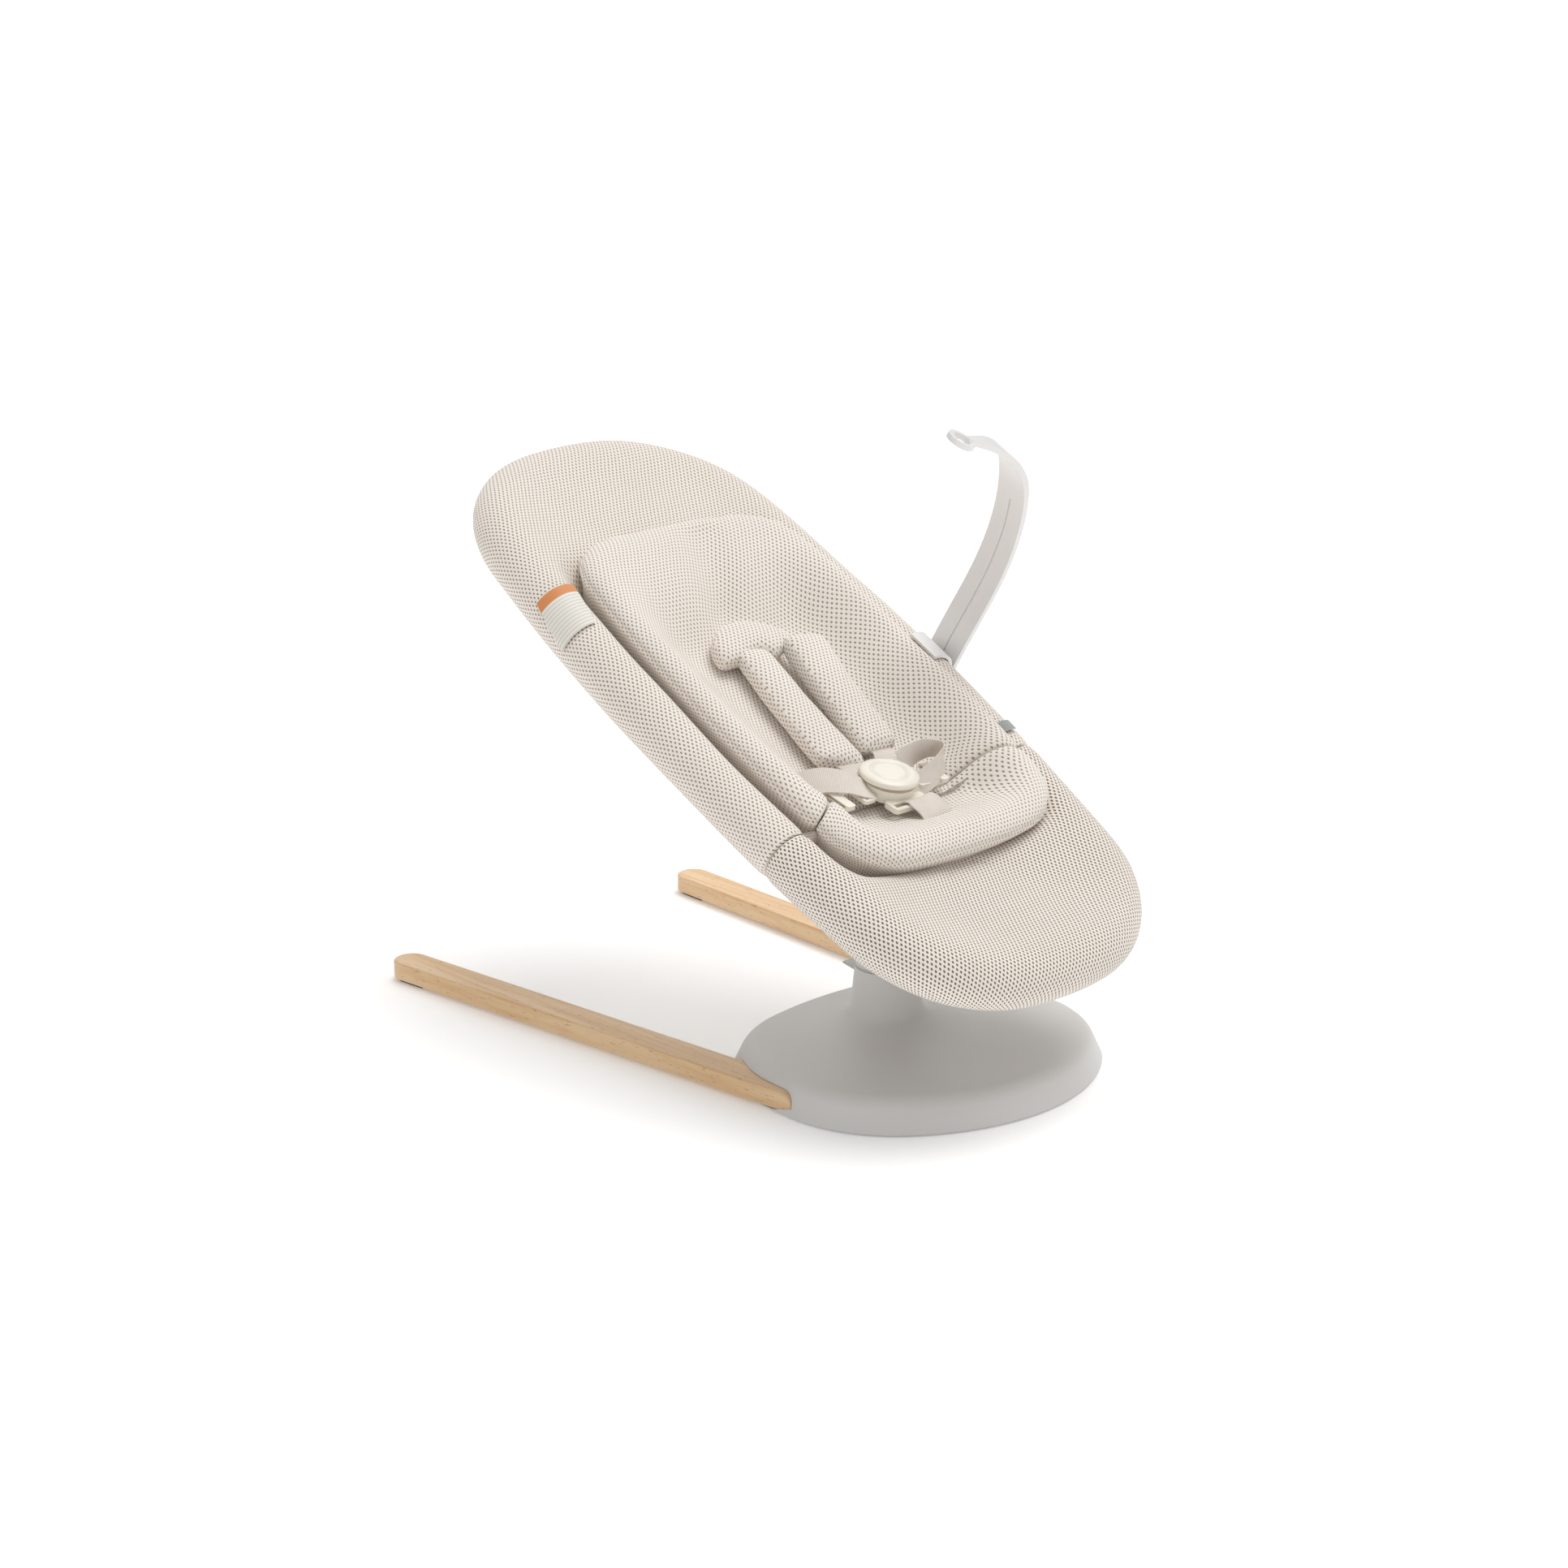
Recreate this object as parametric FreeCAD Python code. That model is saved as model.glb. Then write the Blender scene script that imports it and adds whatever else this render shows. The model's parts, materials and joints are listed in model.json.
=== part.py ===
import FreeCAD, Part
from math import asin, atan2, cos, degrees, pi, radians, sin, sqrt
from FreeCAD import Matrix, Placement, Rotation, Vector

# Infant bouncer seat: an oval padded sling seat on a short column, with a weighted
# moulded base and two beech outrigger legs.  Millimetres.  +Z is up, +Y points to the
# head end and the leg tips, +X to the side that carries the toy bar.  The origin is on
# the floor under the column's axis.

# ---------------------------------------------------------------- base
BASE_HALF_WIDTH = 179.0      # moulded base cover, at its foot
BASE_FRONT = 145.0           # from the widest line to the front
BASE_REAR = 169.0            # from the widest line to the rear
BASE_MID_Y = -57.0           # the widest line
BASE_TOP = 32.0              # height of the cover's flat top
BASE_DRAFT = 14.0            # how far the wall leans in between foot and top
BASE_EDGE = 11.0             # rounding of the top edge
EDGE_STEPS = 6
COVER_WALL = 3.0
FLOOR_GAP = 2.0              # the feet stand this far below cover and plate
PLATE_T = 4.0                # steel ballast plate
PLATE_INSET = 6.0            # plate edge inside the cover's foot
FOOT_R = 11.0
FOOT_SINK = 1.5              # feet sit in a recess this deep

# ---------------------------------------------------------------- column
COLUMN_R = 30.5              # at the seam
COLUMN_FOOT_R = 34.0
COLUMN_TOP = 89.0
MOUND_R = 88.0               # where the flare runs out on the flat top
MOUND_RISE = 11.0
POST_R = 20.0                # steel post inside the column
POST_BORE_R = 17.5
POST_TOP = 86.0
POST_FLANGE_R = 40.0
POST_FLANGE_T = 4.0
POST_BOLT_PCD = 64.0
SEAM_RING_T = 1.6
SEAM_GAP = 0.25

# ---------------------------------------------------------------- legs
LEG_WIDTH = 35.3
LEG_THICK = 18.4
LEG_UNDER = 3.0              # underside above the floor
LEG_TIP_X = 195.7
LEG_TIP_Y = 493.5
LEG_SPLAY = 3.98             # degrees, tips outwards
LEG_LENGTH = 543.0
LEG_FRONT_ROUND = 15.0
LEG_EDGE = 2.0
LEG_CLEAR = 0.4              # leg to cover and leg to bracket
PAD_LENGTH = 46.0            # rubber pad under each tip
PAD_SINK = 1.5

# ---------------------------------------------------------------- hub and pivot
PIVOT_Z = 134.0
HUB_POST_R = 29.5
HUB_BARREL_R = 28.6
HUB_HALF_LENGTH = 34.0
HUB_WALL = 4.0
SPIGOT_R = 17.3
SPIGOT_BORE_R = 13.0
SPIGOT_BOTTOM = 58.0
AXLE_R = 6.0
RUNNING = 0.05               # radial clearance of a running fit
BUSH_R = 8.5
BUSH_FLANGE_R = 11.0
DISC_R = 21.0
DISC_T = 8.0
DRUM_R = 11.0
SPRING_WIRE_R = 1.6
SPRING_MEAN_R = 14.2
SPRING_TURNS = 4.0
SPRING_PITCH = 3.7
SPRING_GAP = 0.35            # spring end to disc
BUSH_FLANGE_T = 1.5
BUSH_SQUEEZE = 0.03          # sleeve to bore
AXLE_OVER = 5.0              # axle end past the carrier's cheek
WASHER_R = 11.0
WASHER_T = 1.1
CIRCLIP_R = 9.0
CIRCLIP_T = 1.0
CIRCLIP_IN = 3.2             # from the axle's end
GROOVE_SINK = 0.9            # circlip groove in the axle
HUB_SCREW_R = 1.85
HUB_SCREW_HEAD_R = 3.4
HUB_SCREW_SINK = 4.0         # head's seat under the post's face
SLIDE_CLEAR = 0.05
DISC_BOSS_R = 10.0
DISC_BOSS_T = 3.0
DISC_HOLES_AT = 15.5         # lightening holes round the disc
DISC_HOLE_R = 2.6
DRUM_GAP = 0.4

# ---------------------------------------------------------------- lever and brake
LEVER_PIN_Y = 24.0
LEVER_Z = 79.0
LEVER_T = 5.0
LEVER_HALF_WIDTH = 4.5
LEVER_REACH = 50.0           # tab end from the column's axis
LEVER_SLOT_CLEAR = 0.8
ROD_R = 2.5
ROD_COLLAR_R = 5.0
BRAKE_GAP = 0.4
LEVER_PIN_R = 1.5
LEVER_EYE_R = 4.2
LEVER_TAB_OUT = 4.0          # tab wider than the arm, each side
SHOE_HALF_LENGTH = 9.0
SHOE_UP = 5.0                # shoe over the spigot's top
BRAKE_WIRE_R = 0.8
BRAKE_MEAN_R = 4.4
BRAKE_PITCH = 2.6
BRAKE_TURNS = 3.0
EAR_T = 3.0

# ---------------------------------------------------------------- seat
SEAT_PITCH = 28.75           # degrees from level, head end up
PIVOT_BACK = 191.3           # pivot to the seat's centre, along the seat
PIVOT_DROP = 106.4           # pivot to the rim's plane, square to it
SEAT_HALF_WIDTH = 167.0      # frame tube's centreline
SEAT_HALF_LENGTH = 370.0
SEAT_SIDE_R = 2200.0
SEAT_CORNER_R = 120.0
SEAT_END_R = 480.0
FRAME_R = 9.5
FRAME_BORE_R = 8.2
ROLL_R = 27.0                # padded rim over the frame tube
PANEL_SEAM_S = -150.0        # where the foot panel meets the main panel
FABRIC_T = 4.0
SOFT_GAP = 0.3               # between neighbouring soft pieces
# inside of the sling: (inset from the frame line, height) from rim to floor
SLING = ((16.0, 0.0), (21.0, -12.0), (46.0, -24.0), (86.0, -34.0), (101.0, -36.0))
DECK_TOP = 18.0              # taut cloth at the head and foot ends, over the rim's plane
DECK_INSET = 12.0
NEST_GAP = 6.0               # room round the insert
NEST_LOW = -48.0
CROSS_R = 8.0
CROSS_SLEEVE_GAP = 0.8       # opening in the sling round each cross tube
CROSS_BORE_R = 6.8
CROSS_H = -58.3
CROSS_BEND = 40.0
CROSS_LEAN = 60.0            # degrees from level of each end, so the rim hides it
CROSS_START = 6.0            # the ends run this far past the frame tube's middle
CROSS_FROM_PIVOT = 64.0      # each cross tube before and behind the pivot
PLATE_HALF_X = 60.0
PLATE_OVER = 18.0            # carrier plate beyond the cross tubes
CARRIER_T = 5.0
CHEEK_GAP = 1.0
CHEEK_R = 22.0
CLIP_X = 46.0                # tube clips on the carrier
CLIP_T = 2.0
CLIP_W = 12.0

# ---------------------------------------------------------------- insert and harness
INSERT_HALF_WIDTH = 146.0
INSERT_HEAD = 245.0
INSERT_FOOT = -236.0
INSERT_TOP = 34.0
INSERT_SPLIT_S = -132.0      # back pad above, front bolster below
WELL_HALF_WIDTH = 88.0
WELL_FLOOR = -8.0
PAD_HALF_WIDTH = 28.0
PAD_X = 32.0
PAD_HEAD = 62.0
PAD_FOOT = -84.0
PAD_T = 20.0
COLLAR_LENGTH = 46.0
COLLAR_HALF_WIDTH = 44.0
BUCKLE_S = -128.0
BUCKLE_R = 25.5
BUCKLE_T = 12.0
BUCKLE_LIFT = 9.0            # the buckle lies this far over the well's floor
BUCKLE_TILT = 12.0           # degrees, head side down
BUTTON_R = 28.5
BUTTON_T = 7.0
BUTTON_TRAVEL = 2.0
STEM_R = 8.0
WEB_T = 1.5
WAIST_WEB = 25.0
CROTCH_WEB = 38.0
CROTCH_END_GAP = -0.3        # its sewn end meets the front bolster once it is tilted
STRAP_END_IN = 14.0          # waist straps stop this far inside the well's side
TONGUE_T = 3.5
TONGUE_HALF_WIDTH = 9.0
TONGUE_IN = 13.0             # blade from here to TONGUE_OUT
TONGUE_OUT = 42.0
TONGUE_HEAD_IN = 30.0
TONGUE_HEAD_OUT = 44.0
TONGUE_HEAD_HALF = 16.0
TONGUE_SLOT = (36.0, 40.5, 13.0)   # from, to, half length
MOUTH_UP = 3.5               # tongue slot over the buckle's underside
MOUTH_IN = 12.0
BODY_FLOOR_T = 3.0
LOOP_HALF = 24.0             # loop for the crotch strap
LOOP_SLOT_HALF = 20.0
LOOP_OUT = 12.0
LOOP_T = 5.0
STRAP_GAP = 0.3
ADJUSTER_IN = 58.0
ADJUSTER_OUT = 68.0
ADJUSTER_HALF = 17.0
SLEEVE_UP = 6.0              # webbing sleeve over a pad's underside
STRAP_OUT = 12.0             # shoulder strap past its pad
LABEL_LIFT = 0.1
LABEL_T = 0.4
LABEL_FOOT = 134.0
LABEL_HEAD = 190.0
TAB_T = 0.9
TAB_FOOT = -112.0
TAB_WIDTH = 12.0

# ---------------------------------------------------------------- toy bar
BAR_S = 8.0
BAR_WIDTH = 37.0
BAR_T = 6.0
CLIP_GAP = 0.6
CLIP_WALL = 3.5
# centreline in the seat's cross-section, (outwards, up) from the frame line
BAR_LINE = ((34.8, -26.0), (34.8, 8.0), (39.0, 60.0), (43.0, 110.0), (40.5, 150.0),
            (33.0, 184.0), (18.0, 222.0), (-3.0, 252.0), (-32.0, 273.0), (-62.0, 285.0), (-84.0, 290.0))
EYE_R = 14.0
EYE_HOLE_R = 9.0
GROOVE_W = 1.8
GROOVE_DEPTH = 1.2
GROOVE_TOP = 205.0
GROOVE_OVER = 1.0
BAR_TAPER = ((32.0, 12.5), (62.0, 8.5), (90.0, 4.0))   # (in from the side, half width)
BAR_TAPER_FROM = 10.0        # outside the frame line
BAR_TAPER_H = 200.0          # over the rim's plane
BAR_NECK = 3.0
HOOK_FROM = -88.0            # degrees round the rim from its outward side
HOOK_TO = 100.0
BAR_PIN_R = 2.05
BAR_PIN_HALF_APART = 11.0
BAR_PIN_IN = 1.0
PIN_CLEAR = 0.05
INSERT_RADII = (1400.0, 80.0, 320.0)

X = Vector(1, 0, 0)
Y = Vector(0, 1, 0)
Z = Vector(0, 0, 1)
BIG = 900.0


def save(name, shape):
    """Write one node."""
    shape.exportStep("parts/%s.step" % name)
    return shape


def box(x0, x1, y0, y1, z0, z1):
    return Part.makeBox(x1 - x0, y1 - y0, z1 - z0, Vector(x0, y0, z0))


def rod(radius, start, axis, length):
    return Part.makeCylinder(radius, length, start, axis)


def tube(outer, bore, start, axis, length):
    return rod(outer, start, axis, length).cut(rod(bore, start, axis, length))


def quadrant(width, length, side_r, corner_r, end_r):
    """Centres of the three tangent arcs from the end (0, length) to the side (width, 0)."""
    end_c = Vector(0, length - end_r, 0)
    side_c = Vector(width - side_r, 0, 0)
    reach_end = end_r - corner_r
    reach_side = side_r - corner_r
    span = side_c - end_c
    d = span.Length
    along = (reach_end ** 2 - reach_side ** 2 + d * d) / (2 * d)
    across = sqrt(reach_end ** 2 - along ** 2)
    unit = span.normalize()
    outward = Vector(-unit.y, unit.x, 0)
    outward = outward if outward.x > 0 else -outward
    corner_c = end_c + unit * along + outward * across
    return end_c, corner_c, side_c


def quadrant_arcs(width, length, radii, inset, z, fy, mid_y):
    """The three arcs of a quadrant in +X, from its end to its side, moved in by inset."""
    side_r, corner_r, end_r = radii
    end_c, corner_c, side_c = quadrant(width, length, side_r, corner_r, end_r)
    a_end = atan2(corner_c.y - end_c.y, corner_c.x - end_c.x)
    a_side = atan2(corner_c.y - side_c.y, corner_c.x - side_c.x)
    arcs = []
    for centre, radius, a0, a1 in ((end_c, end_r, pi / 2, a_end), (corner_c, corner_r, a_end, a_side),
                                   (side_c, side_r, a_side, 0.0)):
        r = radius - inset
        pts = [Vector(centre.x + r * cos(a), mid_y + fy * (centre.y + r * sin(a)), z)
               for a in (a0, (a0 + a1) / 2, a1)]
        arcs.append(pts)
    return arcs


def oval(width, front, rear, front_radii, rear_radii, inset, z, mid_y=0.0):
    """Closed wire of twelve tangent arcs, the same at both sides."""
    rear_q = quadrant_arcs(width, rear, rear_radii, inset, z, 1, mid_y)
    front_q = quadrant_arcs(width, front, front_radii, inset, z, -1, mid_y)

    loop = rear_q + [list(reversed(arc)) for arc in reversed(front_q)]
    mirrored = [[Vector(-p.x, p.y, p.z) for p in reversed(arc)] for arc in reversed(loop)]
    edges = [Part.Arc(*arc).toShape() for arc in loop + mirrored]
    return Part.Wire(edges)


FRONT_RADII = (140.0, 125.0, 210.0)
REAR_RADII = (380.0, 135.0, 390.0)


def base_oval(inset, z):
    return oval(BASE_HALF_WIDTH, BASE_FRONT, BASE_REAR, FRONT_RADII, REAR_RADII, inset, z, BASE_MID_Y)


def seat_oval(inset, h):
    radii = (SEAT_SIDE_R, SEAT_CORNER_R, SEAT_END_R)
    return oval(SEAT_HALF_WIDTH, SEAT_HALF_LENGTH, SEAT_HALF_LENGTH, radii, radii, inset, h)


def insert_oval(margin, h):
    middle = (INSERT_HEAD + INSERT_FOOT) / 2
    length = (INSERT_HEAD - INSERT_FOOT) / 2
    return oval(INSERT_HALF_WIDTH, length, length, INSERT_RADII, INSERT_RADII, margin, h, middle)


def prism(wire, height):
    return Part.Face(wire).extrude(Z * height)


def stack(wires):
    return Part.makeLoft(wires, True, True)


# ------------------------------------------------------------------ the seat's own frame
def seat_placement():
    """From the seat's frame (x, s along the seat, h square to the rim) to the row frame."""
    p = radians(SEAT_PITCH)
    along = Vector(0, cos(p), sin(p))
    normal = Vector(0, -sin(p), cos(p))
    centre = Vector(0, 0, PIVOT_Z) + along * PIVOT_BACK + normal * PIVOT_DROP
    return Placement(centre, Rotation(X, SEAT_PITCH))


def to_row(shape):
    placed = shape.copy()
    placed.Placement = seat_placement().multiply(placed.Placement)
    return placed


def side_x(s):
    """The frame line's distance from the middle at s, on the long side arcs."""
    return SEAT_HALF_WIDTH - SEAT_SIDE_R + sqrt(SEAT_SIDE_R ** 2 - s * s)


def rail_sweep(face, s0, s1, side):
    """Turn a face drawn at s=0 in the x-h plane about the side arc's centre, s0 to s1."""
    centre = Vector(side * (SEAT_HALF_WIDTH - SEAT_SIDE_R), 0, 0)
    a0 = degrees(asin(s0 / SEAT_SIDE_R))
    a1 = degrees(asin(s1 / SEAT_SIDE_R))
    turned = face.copy()
    turned.rotate(centre, Z, side * a0)
    return turned.revolve(centre, Z, side * (a1 - a0))


def ring_sector(r0, r1, a0, a1, side):
    """Part of a ring round the frame line, angles from the outward side, at s=0."""
    c = Vector(side * SEAT_HALF_WIDTH, 0, 0)

    def at(r, a):
        return c + Vector(side * r * cos(radians(a)), 0, r * sin(radians(a)))

    mid = (a0 + a1) / 2
    edges = [Part.Arc(at(r1, a0), at(r1, mid), at(r1, a1)).toShape(),
             Part.LineSegment(at(r1, a1), at(r0, a1)).toShape(),
             Part.Arc(at(r0, a1), at(r0, mid), at(r0, a0)).toShape(),
             Part.LineSegment(at(r0, a0), at(r1, a0)).toShape()]
    return Part.Face(Part.Wire(edges))


def ring_pipe(radius):
    """A closed round bar along the frame line."""
    path = seat_oval(0.0, 0.0)
    start = path.OrderedEdges[0]
    p0 = start.valueAt(start.FirstParameter)
    tangent = start.tangentAt(start.FirstParameter)
    circle = Part.Wire([Part.makeCircle(radius, p0, tangent)])
    return path.makePipeShell([circle], True, False)


def coil(wire_r, mean_r, pitch, turns):
    """A plain coil spring standing on z=0."""
    helix = Part.makeHelix(pitch, pitch * turns, mean_r)
    start = helix.Edges[0]
    p0 = start.valueAt(start.FirstParameter)
    tangent = start.tangentAt(start.FirstParameter)
    circle = Part.Wire([Part.makeCircle(wire_r, p0, tangent)])
    return Part.Wire(helix.Edges).makePipeShell([circle], True, True)


# ------------------------------------------------------------------ legs
def leg_shape(grow=0.0):
    """A leg with its tip at the origin, running towards -Y; grow widens it all round."""
    half = LEG_WIDTH / 2 + grow
    z0 = LEG_UNDER - grow
    z1 = LEG_UNDER + LEG_THICK + grow
    body = box(-half, half, -LEG_LENGTH - grow, -LEG_WIDTH / 2, z0, z1)
    front = [e for e in body.Edges if abs(e.CenterOfMass.y + LEG_LENGTH + grow) < 0.01
             and abs(e.CenterOfMass.z - z1) < 0.01]
    body = body.makeFillet(LEG_FRONT_ROUND, front)
    tip = rod(half, Vector(0, -LEG_WIDTH / 2, z0), Z, z1 - z0)
    return body.fuse(tip).removeSplitter()


def place_leg(shape, side):
    placed = shape.copy()
    placed.rotate(Vector(0, 0, 0), Z, -side * LEG_SPLAY)
    placed.translate(Vector(side * LEG_TIP_X, LEG_TIP_Y, 0))
    return placed


def leg_pad_block(grow=0.0):
    half = LEG_WIDTH / 2 - 5.0 + grow
    y0 = -PAD_LENGTH
    z1 = LEG_UNDER + PAD_SINK + grow
    pad = box(-half, half, y0 - grow, -LEG_WIDTH / 2, 0.0, z1)
    return pad.fuse(rod(half, Vector(0, -LEG_WIDTH / 2, 0.0), Z, z1)).removeSplitter()


def leg_bolt_ys():
    """Bolts into each leg, measured from the tip."""
    return (-LEG_LENGTH + 25.0, -LEG_LENGTH + 50.0)


BRACKET_T = 2.5
BRACKET_OVER = -5.5          # how far the strap reaches past the leg's middle
LEG_BOLT_IN = 10.0           # bolts on the inner side of the leg's middle
LEG_BOLT_R = 2.5
LEG_BOLT_DEPTH = 12.0
HEAD_R = 4.6
HEAD_T = 2.2


def build_legs():
    for side, name in ((-1, "leg_left"), (1, "leg_right")):
        leg = leg_shape()
        long_edges = [e for e in leg.Edges if e.Length > LEG_LENGTH / 2]
        leg = leg.makeFillet(LEG_EDGE, long_edges)
        leg = leg.cut(leg_pad_block(0.0))
        top = LEG_UNDER + LEG_THICK
        for y in leg_bolt_ys():
            at = Vector(-side * LEG_BOLT_IN, y, top - LEG_BOLT_DEPTH)
            leg = leg.cut(rod(LEG_BOLT_R, at, Z, LEG_BOLT_DEPTH + 1))
        save(name, place_leg(leg, side))
    pads = [place_leg(leg_pad_block(), side) for side in (-1, 1)]
    save("leg_pads", Part.makeCompound(pads))


def leg_bracket(side):
    """Folded steel strap over a leg's top, down its inner side and out along the plate."""
    half = LEG_WIDTH / 2
    top = LEG_UNDER + LEG_THICK
    y0 = leg_bolt_ys()[0] - 9.0
    y1 = leg_bolt_ys()[1] + 9.0
    inner = -side
    web = half + LEG_CLEAR
    plate_top = FLOOR_GAP + PLATE_T

    def span(a, b):
        return (min(inner * a, inner * b), max(inner * a, inner * b))

    xa, xb = span(-BRACKET_OVER, web + BRACKET_T)
    over = box(xa, xb, y0, y1, top, top + BRACKET_T)
    xa, xb = span(web, web + BRACKET_T)
    wall = box(xa, xb, y0, y1, plate_top, top)
    xa, xb = span(web, web + BRACKET_T + 20.0)
    foot = box(xa, xb, y0, y1, plate_top, plate_top + BRACKET_T)
    bracket = over.fuse([wall, foot]).removeSplitter()
    foot_x = inner * (web + BRACKET_T + 10.0)
    for y in leg_bolt_ys():
        bracket = bracket.cut(rod(LEG_BOLT_R + 0.2, Vector(inner * LEG_BOLT_IN, y, top - 1), Z, BRACKET_T + 2))
        bracket = bracket.cut(rod(LEG_BOLT_R + 0.2, Vector(foot_x, y, plate_top - 1), Z, BRACKET_T + 2))
    return bracket, foot_x


def build_leg_brackets():
    bolts = []
    plate_top = FLOOR_GAP + PLATE_T
    for side, name in ((-1, "leg_bracket_left"), (1, "leg_bracket_right")):
        bracket, foot_x = leg_bracket(side)
        save(name, place_leg(bracket, side))
        for y in leg_bolt_ys():
            top = LEG_UNDER + LEG_THICK
            at = Vector(-side * LEG_BOLT_IN, y, top)
            shank = rod(LEG_BOLT_R - 0.05, at - Z * (LEG_BOLT_DEPTH - 1), Z, LEG_BOLT_DEPTH - 1 + BRACKET_T)
            head = rod(HEAD_R, at + Z * BRACKET_T, Z, HEAD_T)
            bolts.append(place_leg(shank.fuse(head).removeSplitter(), side))
            shank = rod(LEG_BOLT_R - 0.05, Vector(foot_x, y, FLOOR_GAP), Z, PLATE_T + BRACKET_T)
            head = rod(HEAD_R, Vector(foot_x, y, plate_top + BRACKET_T), Z, HEAD_T)
            bolts.append(place_leg(shank.fuse(head).removeSplitter(), side))
    save("leg_bolts", Part.makeCompound(bolts))


def bracket_plate_holes():
    holes = []
    for side in (-1, 1):
        foot_x = leg_bracket(side)[1]
        for y in leg_bolt_ys():
            holes.append(place_leg(rod(LEG_BOLT_R, Vector(foot_x, y, 0), Z, PLATE_T + 4), side))
    return holes


# ------------------------------------------------------------------ base
FEET = ((-92.0, 70.0), (92.0, 70.0), (-118.0, -120.0), (118.0, -120.0))
BOSSES = ((-60.0, 78.0), (60.0, 78.0), (-86.0, -140.0), (86.0, -140.0))
BOSS_R = 6.5
SCREW_R = 1.9


def body_of_base(wall):
    """The cover's outer shape moved in by wall: a drafted oval under a flared column."""
    top = BASE_TOP - wall
    foot = FLOOR_GAP - (1.0 if wall else 0.0)
    lean = BASE_DRAFT / (BASE_TOP - FLOOR_GAP)
    edge_r = BASE_EDGE - wall * 0.6
    wires = [base_oval(wall, foot)]
    for i in range(EDGE_STEPS + 1):
        turn = radians(90.0 * i / EDGE_STEPS)
        z = top - edge_r * (1 - sin(turn))
        wires.append(base_oval(wall + lean * (z - foot) + edge_r * (1 - cos(turn)), z))
    oval_body = stack(wires)
    neck_r = COLUMN_R - wall
    foot_r = COLUMN_FOOT_R - wall
    column_top = COLUMN_TOP + (2.0 if wall else 0.0)
    run_out = MOUND_R - wall
    shoulder = Vector(foot_r, 0, BASE_TOP + MOUND_RISE + 9.0 - wall)
    knee = Vector(foot_r + 3.5, 0, BASE_TOP + MOUND_RISE + 2.2 - wall)
    hip = Vector(foot_r + 10.0, 0, BASE_TOP + MOUND_RISE - 2.2 - wall)
    slope = Vector((foot_r + run_out) / 2 + 2.0, 0, BASE_TOP + MOUND_RISE * 0.24 - wall)
    edge = Vector(run_out, 0, BASE_TOP - 0.6 - wall)
    outline = [Part.LineSegment(Vector(0, 0, foot), Vector(0, 0, column_top)).toShape(),
               Part.LineSegment(Vector(0, 0, column_top), Vector(neck_r, 0, column_top)).toShape(),
               Part.LineSegment(Vector(neck_r, 0, column_top), shoulder).toShape(),
               Part.Arc(shoulder, knee, hip).toShape(),
               Part.Arc(hip, slope, edge).toShape(),
               Part.LineSegment(edge, Vector(run_out, 0, foot)).toShape(),
               Part.LineSegment(Vector(run_out, 0, foot), Vector(0, 0, foot)).toShape()]
    flare = Part.Face(Part.Wire(outline)).revolve(Vector(0, 0, 0), Z, 360)
    return oval_body.fuse(flare).removeSplitter()


def lever_slot(clear):
    half = LEVER_HALF_WIDTH + clear
    return box(-half, half, -8.0, COLUMN_R + 6.0, LEVER_Z - LEVER_T / 2 - 7.5, LEVER_Z + LEVER_T / 2 + 6.0)


def build_base():
    cover = body_of_base(0.0).cut(body_of_base(COVER_WALL))
    cover = cover.cut(rod(COLUMN_R - COVER_WALL, Vector(0, 0, BASE_TOP), Z, COLUMN_TOP))
    plate_top = FLOOR_GAP + PLATE_T
    inside = body_of_base(COVER_WALL - 0.3)
    for x, y in BOSSES:
        boss = rod(BOSS_R, Vector(x, y, plate_top + 0.2), Z, BASE_TOP).common(inside)
        boss = boss.cut(rod(SCREW_R, Vector(x, y, plate_top), Z, 14.0))
        cover = cover.fuse(boss)
    cover = cover.cut(lever_slot(LEVER_SLOT_CLEAR))
    for side in (-1, 1):
        cover = cover.cut(place_leg(leg_shape(LEG_CLEAR), side))
    save("base_cover", cover.removeSplitter())

    plate = prism(base_oval(PLATE_INSET, FLOOR_GAP), PLATE_T)
    for side in (-1, 1):
        plate = plate.cut(place_leg(leg_shape(1.0), side))
    for x, y in BOSSES:
        plate = plate.cut(rod(SCREW_R + 0.3, Vector(x, y, 0), Z, 20))
    for x, y in FEET + ((0.0, 0.0),):
        plate = plate.cut(rod(FOOT_R, Vector(x, y, 0), Z, FLOOR_GAP + FOOT_SINK))
    for hole in bracket_plate_holes() + post_bolt_rods(2.5, FLOOR_GAP - 1, PLATE_T + 2):
        plate = plate.cut(hole)
    solids = sorted(plate.Solids, key=lambda s: s.Volume)
    save("base_plate", solids[-1])

    feet = [rod(FOOT_R, Vector(x, y, 0), Z, FLOOR_GAP + FOOT_SINK) for x, y in FEET]
    save("base_feet", Part.makeCompound(feet))
    save("centre_foot", rod(FOOT_R, Vector(0, 0, 0), Z, FLOOR_GAP + FOOT_SINK))

    screws = []
    for x, y in BOSSES:
        shank = rod(SCREW_R - 0.02, Vector(x, y, FLOOR_GAP), Z, 16.0)
        screws.append(shank.fuse(rod(3.6, Vector(x, y, FLOOR_GAP - 1.4), Z, 1.4)).removeSplitter())
    save("cover_screws", Part.makeCompound(screws))


# ------------------------------------------------------------------ column post and spigot
def post_bolt_rods(radius, z, height):
    rods = []
    for i in range(4):
        a = radians(45 + 90 * i)
        at = Vector(POST_BOLT_PCD / 2 * cos(a), POST_BOLT_PCD / 2 * sin(a), z)
        rods.append(rod(radius, at, Z, height))
    return rods


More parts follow.
